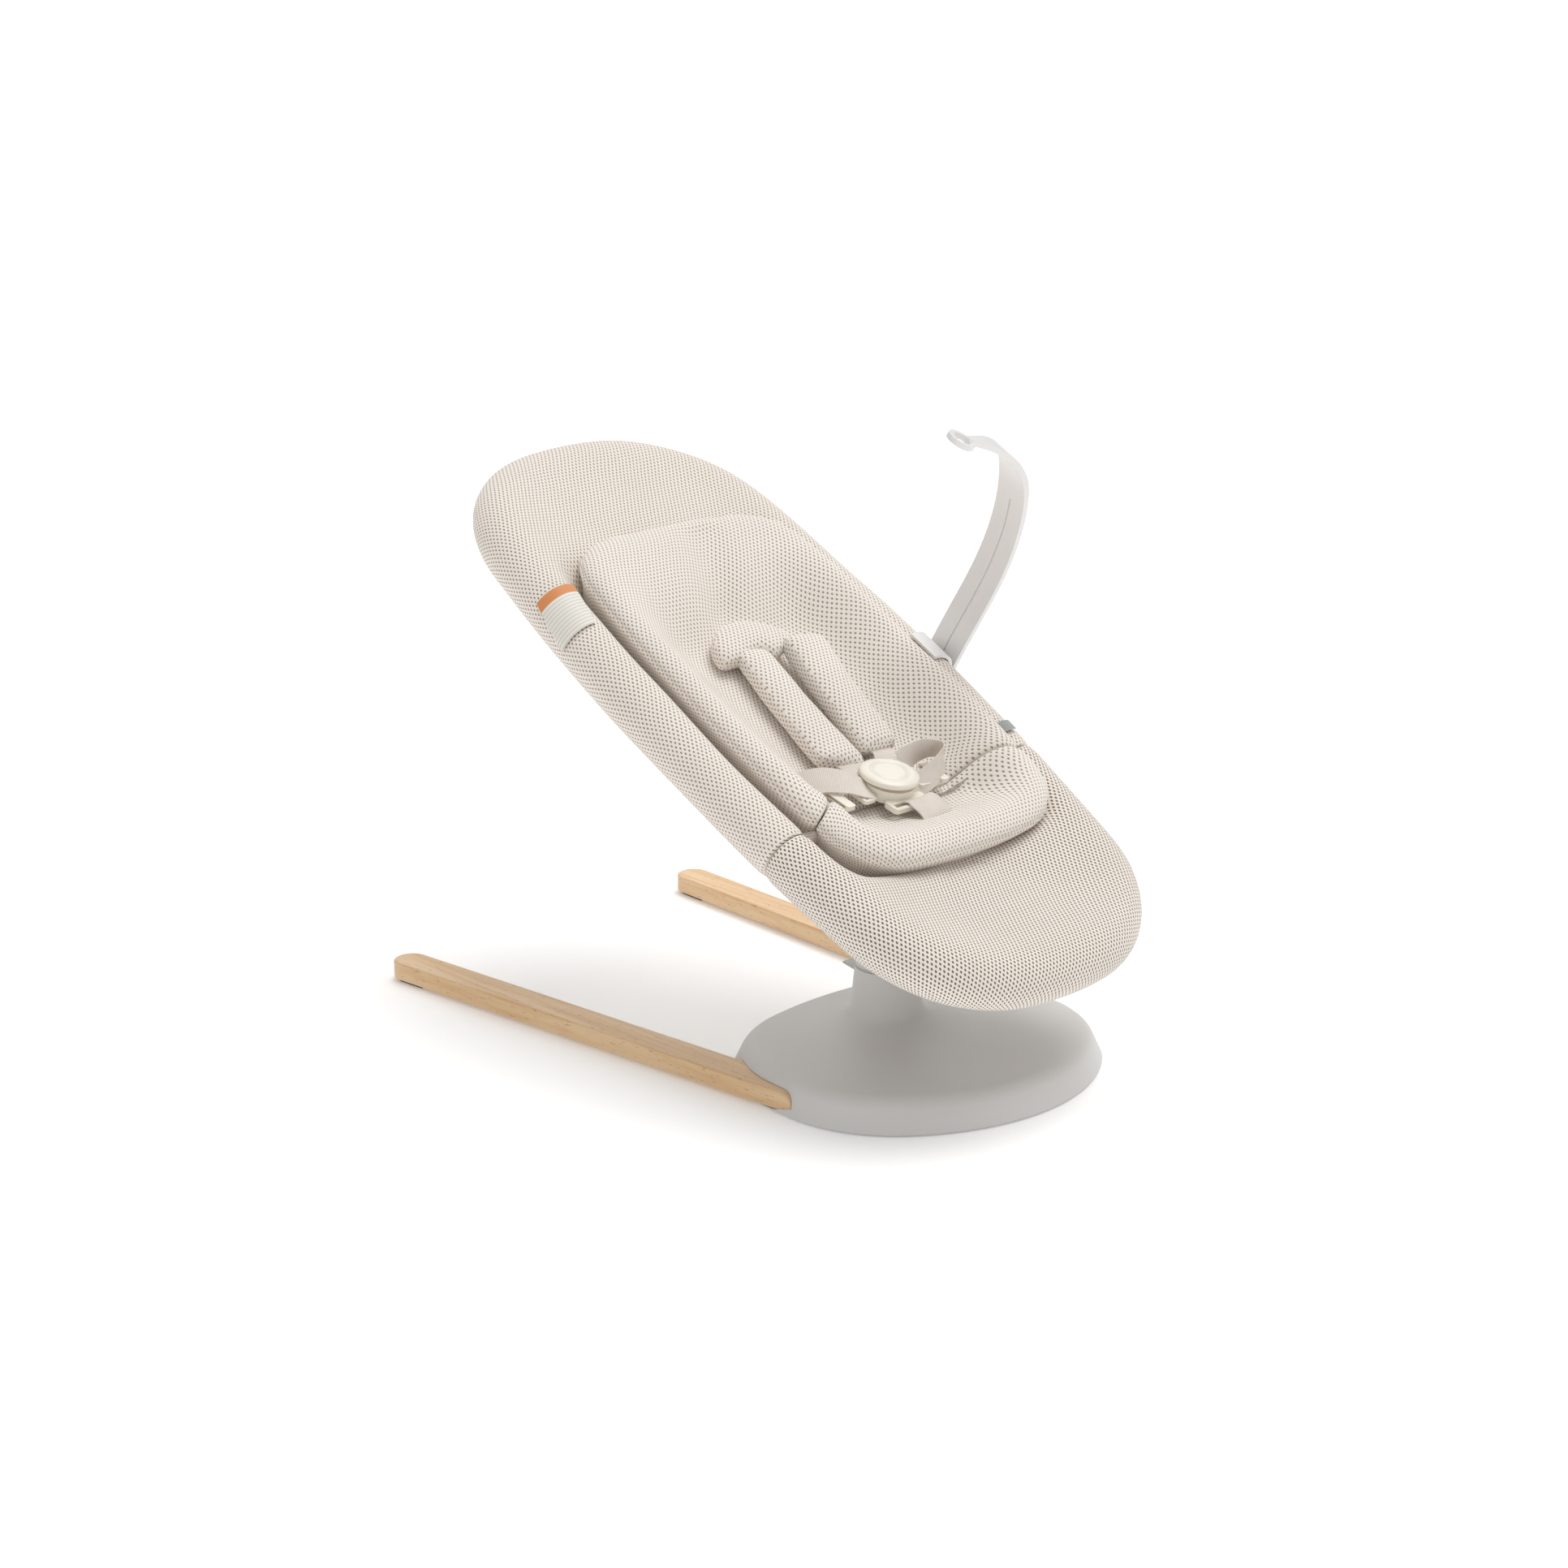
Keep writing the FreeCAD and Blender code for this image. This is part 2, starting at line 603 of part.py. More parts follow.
def lever_ears():
    """Two ears welded to the back of the post, which hold the lever's pin."""
    ears = []
    for side in (-1, 1):
        xa = side * (LEVER_HALF_WIDTH + LEVER_SLOT_CLEAR + 0.2)
        xb = xa + side * EAR_T
        ear = box(min(xa, xb), max(xa, xb), POST_BORE_R + 0.5, LEVER_PIN_Y + 2.4,
                  LEVER_Z - 4.0, LEVER_Z + 4.0)
        ears.append(ear.cut(rod(LEVER_PIN_R + 0.02, Vector(-POST_R, LEVER_PIN_Y, LEVER_Z), X, 2 * POST_R)))
    return ears


def build_post():
    z0 = FLOOR_GAP + PLATE_T
    post = tube(POST_R, POST_BORE_R, Vector(0, 0, z0), Z, POST_TOP - z0)
    flange = tube(POST_FLANGE_R, POST_BORE_R, Vector(0, 0, z0), Z, POST_FLANGE_T)
    post = post.fuse(flange).removeSplitter().cut(lever_slot(LEVER_SLOT_CLEAR))
    for hole in post_bolt_rods(2.7, z0 - 1, POST_FLANGE_T + 2):
        post = post.cut(hole)
    post = post.fuse(lever_ears()).removeSplitter()
    save("column_post", post)

    bolts = []
    shanks = post_bolt_rods(2.45, FLOOR_GAP, PLATE_T + POST_FLANGE_T)
    heads = post_bolt_rods(HEAD_R, z0 + POST_FLANGE_T, 3.0)
    for shank, head in zip(shanks, heads):
        bolts.append(shank.fuse(head).removeSplitter())
    save("post_bolts", Part.makeCompound(bolts))

    ring_z = COLUMN_TOP + SEAM_GAP
    save("seam_ring", tube(COLUMN_R - 1.0, SPIGOT_R + 1.0, Vector(0, 0, ring_z), Z, SEAM_RING_T))

    spigot_top = PIVOT_Z - DISC_R - 12.0
    spigot = tube(SPIGOT_R, SPIGOT_BORE_R, Vector(0, 0, SPIGOT_BOTTOM), Z, spigot_top - SPIGOT_BOTTOM)
    guide = tube(SPIGOT_BORE_R + 0.5, ROD_R + 0.3, Vector(0, 0, spigot_top - 4.0), Z, 4.0)
    floor = tube(SPIGOT_BORE_R + 0.5, ROD_R + 0.3, Vector(0, 0, SPIGOT_BOTTOM), Z, 3.0)
    spigot = spigot.fuse([guide, floor]).removeSplitter().cut(lever_slot(LEVER_SLOT_CLEAR))
    save("hub_spigot", spigot)
    return spigot_top


# ------------------------------------------------------------------ hub housing, axle and springs
HUB_SCREWS = ((-20.5, 104.0), (20.5, 104.0))


def hub_outer(shrink=0.0):
    z0 = COLUMN_TOP + 2 * SEAM_GAP + SEAM_RING_T
    post = rod(HUB_POST_R - shrink, Vector(0, 0, z0 + shrink), Z, PIVOT_Z - z0 - shrink)
    barrel = rod(HUB_BARREL_R - shrink, Vector(-HUB_HALF_LENGTH + shrink, 0, PIVOT_Z), X,
                 2 * (HUB_HALF_LENGTH - shrink))
    return post.fuse(barrel).removeSplitter()


def build_hub(spigot_top):
    outer = hub_outer()
    cavity = rod(HUB_BARREL_R - HUB_WALL, Vector(-HUB_HALF_LENGTH + HUB_WALL, 0, PIVOT_Z), X,
                 2 * (HUB_HALF_LENGTH - HUB_WALL))
    housing = outer.cut(cavity)
    housing = housing.cut(rod(SPIGOT_R + 0.1, Vector(0, 0, COLUMN_TOP), Z, spigot_top - COLUMN_TOP + 0.2))
    housing = housing.cut(rod(ROD_R + 0.6, Vector(0, 0, COLUMN_TOP), Z, PIVOT_Z - COLUMN_TOP))
    well = box(-DISC_T / 2 - 0.6, DISC_T / 2 + 0.6, -10.0, 10.0, spigot_top - 0.1, PIVOT_Z - DISC_R + 4.0)
    housing = housing.cut(well)
    housing = housing.cut(rod(BUSH_R, Vector(-HUB_HALF_LENGTH - 1, 0, PIVOT_Z), X, 2 * HUB_HALF_LENGTH + 2))
    for y, z in HUB_SCREWS:
        through = rod(HUB_SCREW_R + SLIDE_CLEAR, Vector(-HUB_HALF_LENGTH, y, z), X, 2 * HUB_HALF_LENGTH)
        housing = housing.cut(through)
    screws = []
    for y, z in HUB_SCREWS:
        reach = sqrt(HUB_POST_R ** 2 - y * y)
        deep = HUB_HALF_LENGTH - reach + HUB_SCREW_SINK
        housing = housing.cut(rod(HUB_SCREW_HEAD_R + 0.2, Vector(-HUB_HALF_LENGTH, y, z), X, deep))
        start = Vector(-reach + HUB_SCREW_SINK, y, z)
        shank = rod(HUB_SCREW_R, start, X, 2 * (reach - HUB_SCREW_SINK))
        head = rod(HUB_SCREW_HEAD_R, start - X * 2.0, X, 2.0)
        screws.append(shank.fuse(head).removeSplitter())
    save("hub_screws", Part.makeCompound(screws))
    save("hub_shell_left", housing.common(box(-BIG, 0, -BIG, BIG, 0, BIG)))
    save("hub_shell_right", housing.common(box(0, BIG, -BIG, BIG, 0, BIG)))

    bushes = []
    for side in (-1, 1):
        x_in = side * (HUB_HALF_LENGTH - HUB_WALL)
        sleeve = tube(BUSH_R - BUSH_SQUEEZE, AXLE_R + RUNNING, Vector(x_in, 0, PIVOT_Z), X * side, HUB_WALL)
        flange_at = Vector(x_in - side * BUSH_FLANGE_T, 0, PIVOT_Z)
        flange = tube(BUSH_FLANGE_R, AXLE_R + RUNNING, flange_at, X * side, BUSH_FLANGE_T)
        bushes.append(sleeve.fuse(flange).removeSplitter())
    save("axle_bushes", Part.makeCompound(bushes))

    reach = HUB_HALF_LENGTH + CHEEK_GAP + CARRIER_T + AXLE_OVER
    axle = rod(AXLE_R, Vector(-reach, 0, PIVOT_Z), X, 2 * reach)
    for side in (-1, 1):
        groove_x = side * (reach - CIRCLIP_IN) - CIRCLIP_T * 0.6
        groove = tube(AXLE_R + 1, AXLE_R - GROOVE_SINK, Vector(groove_x, 0, PIVOT_Z), X, CIRCLIP_T * 1.2)
        axle = axle.cut(groove)
    save("axle", axle)
    washers = []
    clips = []
    for side in (-1, 1):
        face = side * (HUB_HALF_LENGTH + CHEEK_GAP + CARRIER_T)
        washers.append(tube(WASHER_R, AXLE_R + 2 * RUNNING, Vector(face, 0, PIVOT_Z), X * side, WASHER_T))
        groove_x = side * (reach - CIRCLIP_IN) - CIRCLIP_T * 0.5
        clip = tube(CIRCLIP_R, AXLE_R - GROOVE_SINK + 2 * RUNNING, Vector(groove_x, 0, PIVOT_Z), X, CIRCLIP_T)
        clips.append(clip.cut(box(groove_x - 1, groove_x + 2, -2.0, 2.0, PIVOT_Z - 12, PIVOT_Z - 2)))
    save("axle_washers", Part.makeCompound(washers))
    save("axle_circlips", Part.makeCompound(clips))


def build_disc_and_springs():
    half = DISC_T / 2
    disc = tube(DISC_R, AXLE_R + RUNNING, Vector(-half, 0, PIVOT_Z), X, DISC_T)
    for side in (-1, 1):
        start = Vector(side * half, 0, PIVOT_Z)
        disc = disc.fuse(tube(DISC_BOSS_R, AXLE_R + RUNNING, start, X * side, DISC_BOSS_T))
    for i in range(6):
        a = radians(60 * i)
        at = Vector(-half - 1, DISC_HOLES_AT * cos(a), PIVOT_Z + DISC_HOLES_AT * sin(a))
        if i != 0 and i != 3:
            disc = disc.cut(rod(DISC_HOLE_R, at, X, DISC_T + 2))
    save("recline_disc", disc.removeSplitter())

    springs = []
    run = SPRING_PITCH * SPRING_TURNS
    for side in (-1, 1):
        spring = coil(SPRING_WIRE_R, SPRING_MEAN_R, SPRING_PITCH, SPRING_TURNS)
        spring.rotate(Vector(0, 0, 0), Y, side * 90)
        spring.translate(Vector(side * (half + SPRING_WIRE_R + SPRING_GAP), 0, PIVOT_Z))
        springs.append(spring)
    save("bounce_springs", Part.makeCompound(springs))

    x0 = half + DISC_BOSS_T + DRUM_GAP
    x1 = HUB_HALF_LENGTH - HUB_WALL - BUSH_FLANGE_T - DRUM_GAP
    rim_x = half + run + 2 * SPRING_WIRE_R + 2 * SPRING_GAP + 0.2
    for side, name in ((-1, "spring_drum_left"), (1, "spring_drum_right")):
        drum = tube(DRUM_R, AXLE_R + 0.02, Vector(side * x0, 0, PIVOT_Z), X * side, x1 - x0)
        collar_at = Vector(side * rim_x, 0, PIVOT_Z)
        rim_t = x1 - rim_x
        drum = drum.fuse(tube(DISC_R - 3.0, AXLE_R + 0.02, collar_at, X * side, rim_t)).removeSplitter()
        save(name, drum)


# ------------------------------------------------------------------ release lever and brake
def build_lever(spigot_top):
    z0 = LEVER_Z - LEVER_T / 2
    half = LEVER_HALF_WIDTH
    arm = box(-half, half, -7.0, COLUMN_R + 5.0, z0, z0 + LEVER_T)
    arm = arm.cut(box(-ROD_R - 0.4, ROD_R + 0.4, -8.0, 4.0, z0 - 1, z0 + LEVER_T + 1))
    root = COLUMN_R + 2.0
    tab_points = [Vector(0, root, z0), Vector(0, LEVER_REACH, z0 + LEVER_T - 1.6),
                  Vector(0, LEVER_REACH, z0 + LEVER_T), Vector(0, root, z0 + LEVER_T + 1.5),
                  Vector(0, root, z0)]
    tab = Part.Face(Part.makePolygon(tab_points)).extrude(X * 2 * (half + LEVER_TAB_OUT))
    tab.translate(Vector(-half - LEVER_TAB_OUT, 0, 0))
    lever = arm.fuse(tab).removeSplitter()
    lever = lever.fuse(rod(LEVER_EYE_R, Vector(-half, LEVER_PIN_Y, LEVER_Z), X, 2 * half)).removeSplitter()
    lever = lever.cut(rod(LEVER_PIN_R + SLIDE_CLEAR, Vector(-half - 1, LEVER_PIN_Y, LEVER_Z), X, 2 * half + 2))
    save("release_lever", lever)
    pin_half = LEVER_HALF_WIDTH + LEVER_SLOT_CLEAR + EAR_T + 0.6
    save("lever_pin", rod(LEVER_PIN_R, Vector(-pin_half, LEVER_PIN_Y, LEVER_Z), X, 2 * pin_half))
    half_t = DISC_T / 2
    shoe_z0 = spigot_top + SHOE_UP
    shoe = box(-half_t, half_t, -SHOE_HALF_LENGTH, SHOE_HALF_LENGTH, shoe_z0, PIVOT_Z - DISC_R + 3.0)
    shoe = shoe.cut(rod(DISC_R + BRAKE_GAP, Vector(-half_t - 1, 0, PIVOT_Z), X, DISC_T + 2))
    rod_z0 = SPIGOT_BOTTOM + 6.0
    link = rod(ROD_R, Vector(0, 0, rod_z0), Z, shoe_z0 - rod_z0 + 0.5)
    collar = rod(ROD_COLLAR_R, Vector(0, 0, z0 - 4.4), Z, 3.0)
    save("brake_plunger", shoe.fuse([link, collar]).removeSplitter())
    spring = coil(BRAKE_WIRE_R, BRAKE_MEAN_R, BRAKE_PITCH, BRAKE_TURNS)
    spring.translate(Vector(0, 0, SPIGOT_BOTTOM + 3.0 + 1.0))
    save("brake_spring", spring)


# ------------------------------------------------------------------ seat frame and carrier
def pivot_s():
    return -PIVOT_BACK


def pivot_h():
    return -PIVOT_DROP


def cross_tube(s, radius):
    """A bent tube across the seat, rising at a lean to the frame tube at both ends."""
    lean = radians(CROSS_LEAN)
    down = Vector(-cos(lean), 0, -sin(lean))
    top = Vector(side_x(s), s, 0)
    corner = top + down * (-CROSS_H / sin(lean))
    tangent = CROSS_BEND * sin(lean) / (1 + cos(lean))
    bend_top = corner - down * tangent
    bend_low = corner - X * tangent
    bend_centre = bend_low + Z * CROSS_BEND
    bend_mid = bend_centre + (corner - bend_centre).normalize() * CROSS_BEND
    start = top - down * CROSS_START

    def flip(v):
        return Vector(-v.x, v.y, v.z)

    edges = [Part.LineSegment(start, bend_top).toShape(), Part.Arc(bend_top, bend_mid, bend_low).toShape(),
             Part.LineSegment(bend_low, flip(bend_low)).toShape(),
             Part.Arc(flip(bend_low), flip(bend_mid), flip(bend_top)).toShape(),
             Part.LineSegment(flip(bend_top), flip(start)).toShape()]
    circle = Part.Wire([Part.makeCircle(radius, start, down)])
    return Part.Wire(edges).makePipeShell([circle], True, False)


def cross_positions():
    return (pivot_s() - CROSS_FROM_PIVOT, pivot_s() + CROSS_FROM_PIVOT)


def build_frame():
    outer = ring_pipe(FRAME_R)
    bore = ring_pipe(FRAME_BORE_R)
    ring = outer.cut(bore)
    join_s = 40.0
    head = ring.common(box(-BIG, BIG, join_s, BIG, -BIG, BIG))
    foot = ring.common(box(-BIG, BIG, -BIG, join_s, -BIG, BIG))
    save("frame_tube_head", to_row(head))
    save("frame_tube_foot", to_row(foot))
    sleeves = []
    for side in (-1, 1):
        centre = Vector(side * SEAT_HALF_WIDTH, 0, 0)
        outer_ring = Part.Wire([Part.makeCircle(FRAME_BORE_R - 0.1, centre, Y)])
        inner_ring = Part.Wire([Part.makeCircle(FRAME_BORE_R - 1.6, centre, Y)])
        profile = Part.Face([outer_ring, inner_ring])
        sleeves.append(rail_sweep(profile, join_s - 25.0, join_s + 25.0, side))
    save("frame_couplers", to_row(Part.makeCompound(sleeves)))
    keep_off = ring_pipe(FRAME_R + 0.05)
    for name, s in zip(("cross_tube_front", "cross_tube_rear"), cross_positions()):
        body = cross_tube(s, CROSS_R).cut(cross_tube(s, CROSS_BORE_R)).cut(keep_off)
        body = body.common(box(-BIG, BIG, -BIG, BIG, -BIG, 0))
        save(name, to_row(max(body.Solids, key=lambda b: b.Volume)))


def build_carrier():
    s0, s1 = cross_positions()
    top = CROSS_H - CROSS_R - 0.1
    low = top - CARRIER_T
    plate = box(-PLATE_HALF_X, PLATE_HALF_X, s0 - PLATE_OVER, s1 + PLATE_OVER, low, top)
    upright = [e for e in plate.Edges if abs(e.BoundBox.ZLength - CARRIER_T) < 0.01]
    plate = plate.makeFillet(10.0, upright)
    parts = []
    for side in (-1, 1):
        xa = side * (HUB_HALF_LENGTH + CHEEK_GAP)
        xb = side * (HUB_HALF_LENGTH + CHEEK_GAP + CARRIER_T)
        x0, x1 = min(xa, xb), max(xa, xb)
        cheek = box(x0, x1, pivot_s() - CHEEK_R, pivot_s() + CHEEK_R, pivot_h(), low)
        wing = box(x0, x1, pivot_s() - 46.0, pivot_s() + 46.0, low - 12.0, low)
        boss = rod(CHEEK_R, Vector(x0, pivot_s(), pivot_h()), X, CARRIER_T)
        parts += [cheek, wing, boss]
    carrier = plate.fuse(parts).removeSplitter()
    carrier = carrier.cut(rod(AXLE_R + 0.02, Vector(-BIG, pivot_s(), pivot_h()), X, 2 * BIG))
    window = box(-24.0, 24.0, pivot_s() - 30.0, pivot_s() + 30.0, low - 1, top + 1)
    carrier = carrier.cut(window)
    clips = []
    screws = []
    for s in (s0, s1):
        for x in (-CLIP_X, CLIP_X):
            xa = x - CLIP_W / 2
            saddle = tube(CROSS_R + 0.1 + CLIP_T, CROSS_R + 0.1, Vector(xa, s, CROSS_H), X, CLIP_W)
            saddle = saddle.common(box(-BIG, BIG, -BIG, BIG, CROSS_H, 0))
            for way in (-1, 1):
                inner = s + way * (CROSS_R + 0.1)
                outer = s + way * (CROSS_R + 0.1 + CLIP_T)
                saddle = saddle.fuse(box(xa, xa + CLIP_W, min(inner, outer), max(inner, outer), top, CROSS_H))
                ear_end = s + way * (CROSS_R + 9.0)
                if abs(ear_end - pivot_s()) > CROSS_FROM_PIVOT:
                    saddle = saddle.fuse(box(xa, xa + CLIP_W, min(outer, ear_end), max(outer, ear_end),
                                             top, top + CLIP_T))
                    at = Vector(x, s + way * (CROSS_R + 5.6), low)
                    saddle = saddle.cut(rod(2.2, at, Z, CARRIER_T + CLIP_T + 1))
                    carrier = carrier.cut(rod(2.0, at - Z, Z, CARRIER_T + 2))
                    screw = rod(1.95, at, Z, CARRIER_T + CLIP_T)
                    screws.append(screw.fuse(rod(3.3, at + Z * (CARRIER_T + CLIP_T), Z, 2.0)).removeSplitter())
            clips.append(saddle.removeSplitter())
    save("seat_carrier", to_row(carrier))
    save("tube_clips", to_row(Part.makeCompound(clips)))
    save("tube_clip_screws", to_row(Part.makeCompound(screws)))


# ------------------------------------------------------------------ fabric seat
def sling_body(drop):
    """Everything above the sling's surface moved down by drop."""
    wires = [seat_oval(inset - drop * (0.5 if i < 4 else 0.0), h - drop) for i, (inset, h) in enumerate(SLING)]
    wires.reverse()
    return stack(wires)


def build_cover():
    """Padded roll round the frame tube, a taut deck at both ends and a nest for the insert."""
    roll = ring_pipe(ROLL_R)
    nest_height = DECK_TOP - NEST_LOW
    hollow = prism(insert_oval(-NEST_GAP, NEST_LOW), nest_height + 1.0)
    outer = prism(insert_oval(-NEST_GAP - FABRIC_T, NEST_LOW), nest_height)
    air = stack([seat_oval(inset, h) for inset, h in reversed(SLING)]).common(hollow)
    deck = prism(seat_oval(DECK_INSET, DECK_TOP - FABRIC_T), FABRIC_T).cut(hollow)
    lower = sling_body(FABRIC_T)
    above = lower.fuse(prism(seat_oval(SLING[0][0] - FABRIC_T / 2, -FABRIC_T), DECK_TOP + FABRIC_T))
    wall = outer.cut(hollow).common(above)
    floor = lower.common(outer).cut(air)
    cover = roll.cut(air).fuse([deck, wall, floor]).removeSplitter()
    cover = cover.cut(ring_pipe(FRAME_R + SOFT_GAP))
    for s in cross_positions():
        cover = cover.cut(cross_tube(s, CROSS_R + CROSS_SLEEVE_GAP))
    back = cover.common(box(-BIG, BIG, PANEL_SEAM_S, BIG, -BIG, BIG))
    foot = cover.common(box(-BIG, BIG, -BIG, PANEL_SEAM_S, -BIG, BIG))
    save("seat_cover_back", to_row(max(back.Solids, key=lambda b: b.Volume)))
    save("seat_cover_foot", to_row(max(foot.Solids, key=lambda b: b.Volume)))


def build_insert():
    space = sling_body(-SOFT_GAP)
    space = space.fuse(prism(seat_oval(SLING[1][0] + SOFT_GAP, -1.0), INSERT_TOP + 1.0)).removeSplitter()
    body = prism(insert_oval(0.0, -60.0), 60.0 + INSERT_TOP).common(space)
    body = body.cut(ring_pipe(ROLL_R + SOFT_GAP))
    body = body.cut(prism(insert_oval(INSERT_HALF_WIDTH - WELL_HALF_WIDTH, WELL_FLOOR), 100.0))
    back = body.common(box(-BIG, BIG, INSERT_SPLIT_S + SOFT_GAP, BIG, -BIG, BIG))
    front = body.common(box(-BIG, BIG, -BIG, INSERT_SPLIT_S, -BIG, BIG))
    save("insert_back_pad", to_row(max(back.Solids, key=lambda b: b.Volume)))
    save("insert_front_bolster", to_row(max(front.Solids, key=lambda b: b.Volume)))


def rounded(x0, x1, s0, s1, h0, h1, radius):
    block = box(x0, x1, s0, s1, h0, h1)
    return block.makeFillet(radius, [e for e in block.Edges if abs(e.BoundBox.ZLength - (h1 - h0)) < 0.01])


def tilted(shape):
    """Lay a piece of the buckle group at the buckle's tilt, then into the row."""
    turned = shape.copy()
    turned.rotate(Vector(0, BUCKLE_S, WELL_FLOOR + BUCKLE_LIFT), X, -BUCKLE_TILT)
    return to_row(turned)


def build_harness():
    floor = WELL_FLOOR + SOFT_GAP
    top = floor + PAD_T
    sleeve_h = floor + SLEEVE_UP
    for side, name in ((-1, "shoulder_pad_left"), (1, "shoulder_pad_right")):
        x = side * PAD_X
        pad = rounded(x - PAD_HALF_WIDTH, x + PAD_HALF_WIDTH, PAD_FOOT, PAD_HEAD, floor, top, 9.0)
        slot = box(x - WAIST_WEB / 2 - 0.5, x + WAIST_WEB / 2 + 0.5, PAD_FOOT - 1, PAD_HEAD + 1,
                   sleeve_h, sleeve_h + WEB_T + 1.0)
        save(name, to_row(pad.cut(slot)))
    collar = rounded(-COLLAR_HALF_WIDTH, COLLAR_HALF_WIDTH, PAD_HEAD + SOFT_GAP, PAD_HEAD + COLLAR_LENGTH,
                     floor, top - 2.0, 14.0)
    save("collar_pad", to_row(collar))
    # the webbing inside each pad, which comes out at the foot of it and runs to its tongue
    web_h = sleeve_h + 0.5
    for side, name in ((-1, "shoulder_strap_left"), (1, "shoulder_strap_right")):
        x = side * PAD_X
        strap = box(x - WAIST_WEB / 2, x + WAIST_WEB / 2, PAD_FOOT - STRAP_OUT, PAD_HEAD - 0.5,
                    web_h, web_h + WEB_T)
        save(name, to_row(strap))

    body_h0 = floor + BUCKLE_LIFT
    body = rod(BUCKLE_R, Vector(0, BUCKLE_S, body_h0), Z, BUCKLE_T)
    body = body.cut(rod(STEM_R + SOFT_GAP, Vector(0, BUCKLE_S, body_h0 + BODY_FLOOR_T), Z, BUCKLE_T))
    mouth_h = body_h0 + MOUTH_UP
    mouth_half = TONGUE_HALF_WIDTH + 0.3
    for side in (-1, 1):
        xa, xb = side * MOUTH_IN, side * (BUCKLE_R + 1.0)
        body = body.cut(box(min(xa, xb), max(xa, xb), BUCKLE_S - mouth_half, BUCKLE_S + mouth_half,
                            mouth_h - 0.3, mouth_h + TONGUE_T + 0.3))
    body_s = BUCKLE_S - BUCKLE_R
    loop_top = body_h0 + LOOP_T
    loop = rounded(-LOOP_HALF, LOOP_HALF, body_s - LOOP_OUT, body_s + 6.0, body_h0, loop_top, 4.0)
    loop = loop.cut(box(-LOOP_SLOT_HALF, LOOP_SLOT_HALF, body_s - LOOP_OUT + 4.0, body_s - 3.0,
                        body_h0 - 1, loop_top + 1))
    body = body.fuse(loop.cut(rod(BUCKLE_R - 1.0, Vector(0, BUCKLE_S, 0), Z, 40))).removeSplitter()
    save("buckle_body", tilted(body))
    button_h = body_h0 + BUCKLE_T + BUTTON_TRAVEL + 0.5
    button = rod(BUTTON_R, Vector(0, BUCKLE_S, button_h), Z, BUTTON_T)
    top_edge = [e for e in button.Edges if abs(e.BoundBox.ZMin - button_h - BUTTON_T) < 0.01]
    button = button.makeFillet(3.0, top_edge)
    stem_h = body_h0 + BODY_FLOOR_T + BUTTON_TRAVEL + 1.0
    button = button.fuse(rod(STEM_R, Vector(0, BUCKLE_S, stem_h), Z, 10.0))
    save("buckle_button", tilted(button.removeSplitter()))

    adjusters = []
    for side, name in ((-1, "buckle_tongue_left"), (1, "buckle_tongue_right")):
        xa, xb = side * TONGUE_IN, side * TONGUE_OUT
        blade = box(min(xa, xb), max(xa, xb), BUCKLE_S - TONGUE_HALF_WIDTH, BUCKLE_S + TONGUE_HALF_WIDTH,
                    mouth_h, mouth_h + TONGUE_T)
        xa, xb = side * TONGUE_HEAD_IN, side * TONGUE_HEAD_OUT
        head = rounded(min(xa, xb), max(xa, xb), BUCKLE_S - TONGUE_HEAD_HALF, BUCKLE_S + TONGUE_HEAD_HALF,
                       mouth_h, mouth_h + TONGUE_T, 3.0)
        tongue = blade.fuse(head).removeSplitter()
        xa, xb, slot_half = side * TONGUE_SLOT[0], side * TONGUE_SLOT[1], TONGUE_SLOT[2]
        tongue = tongue.cut(box(min(xa, xb), max(xa, xb), BUCKLE_S - slot_half, BUCKLE_S + slot_half,
                                mouth_h - 1, mouth_h + 9))
        save(name, tilted(tongue))
        strap_h = mouth_h + 1.0
        xa, xb = side * (TONGUE_HEAD_OUT + STRAP_GAP), side * (WELL_HALF_WIDTH - STRAP_END_IN)
        strap = box(min(xa, xb), max(xa, xb), BUCKLE_S - WAIST_WEB / 2, BUCKLE_S + WAIST_WEB / 2,
                    strap_h, strap_h + WEB_T)
        save("waist_strap_left" if side < 0 else "waist_strap_right", tilted(strap))
        xa, xb = side * ADJUSTER_IN, side * ADJUSTER_OUT
        frame = rounded(min(xa, xb), max(xa, xb), BUCKLE_S - ADJUSTER_HALF, BUCKLE_S + ADJUSTER_HALF,
                        strap_h - 1.5, strap_h + 3.0, 2.0)
        web_half = WAIST_WEB / 2 + STRAP_GAP
        frame = frame.cut(box(-BIG, BIG, BUCKLE_S - web_half, BUCKLE_S + web_half,
                              strap_h - STRAP_GAP, strap_h + WEB_T + STRAP_GAP))
        adjusters.append(frame)
    save("strap_adjusters", tilted(Part.makeCompound(adjusters)))
    web_s0 = INSERT_FOOT + (INSERT_HALF_WIDTH - WELL_HALF_WIDTH) + CROTCH_END_GAP
    strap_h = body_h0 + 1.5
    crotch = box(-CROTCH_WEB / 2, CROTCH_WEB / 2, web_s0, body_s - LOOP_OUT - STRAP_GAP,
                 strap_h, strap_h + WEB_T)
    save("crotch_strap", tilted(crotch))


def build_labels():
    label_face = ring_sector(ROLL_R + LABEL_LIFT, ROLL_R + LABEL_LIFT + LABEL_T, 20.0, 112.0, -1)
    label = rail_sweep(label_face, LABEL_FOOT, LABEL_HEAD, -1)
    save("care_label", to_row(label))
    tab_face = ring_sector(ROLL_R + LABEL_LIFT, ROLL_R + LABEL_LIFT + TAB_T, 52.0, 86.0, 1)
    tab = rail_sweep(tab_face, TAB_FOOT, TAB_FOOT + TAB_WIDTH, 1)
    save("side_tab", to_row(tab))


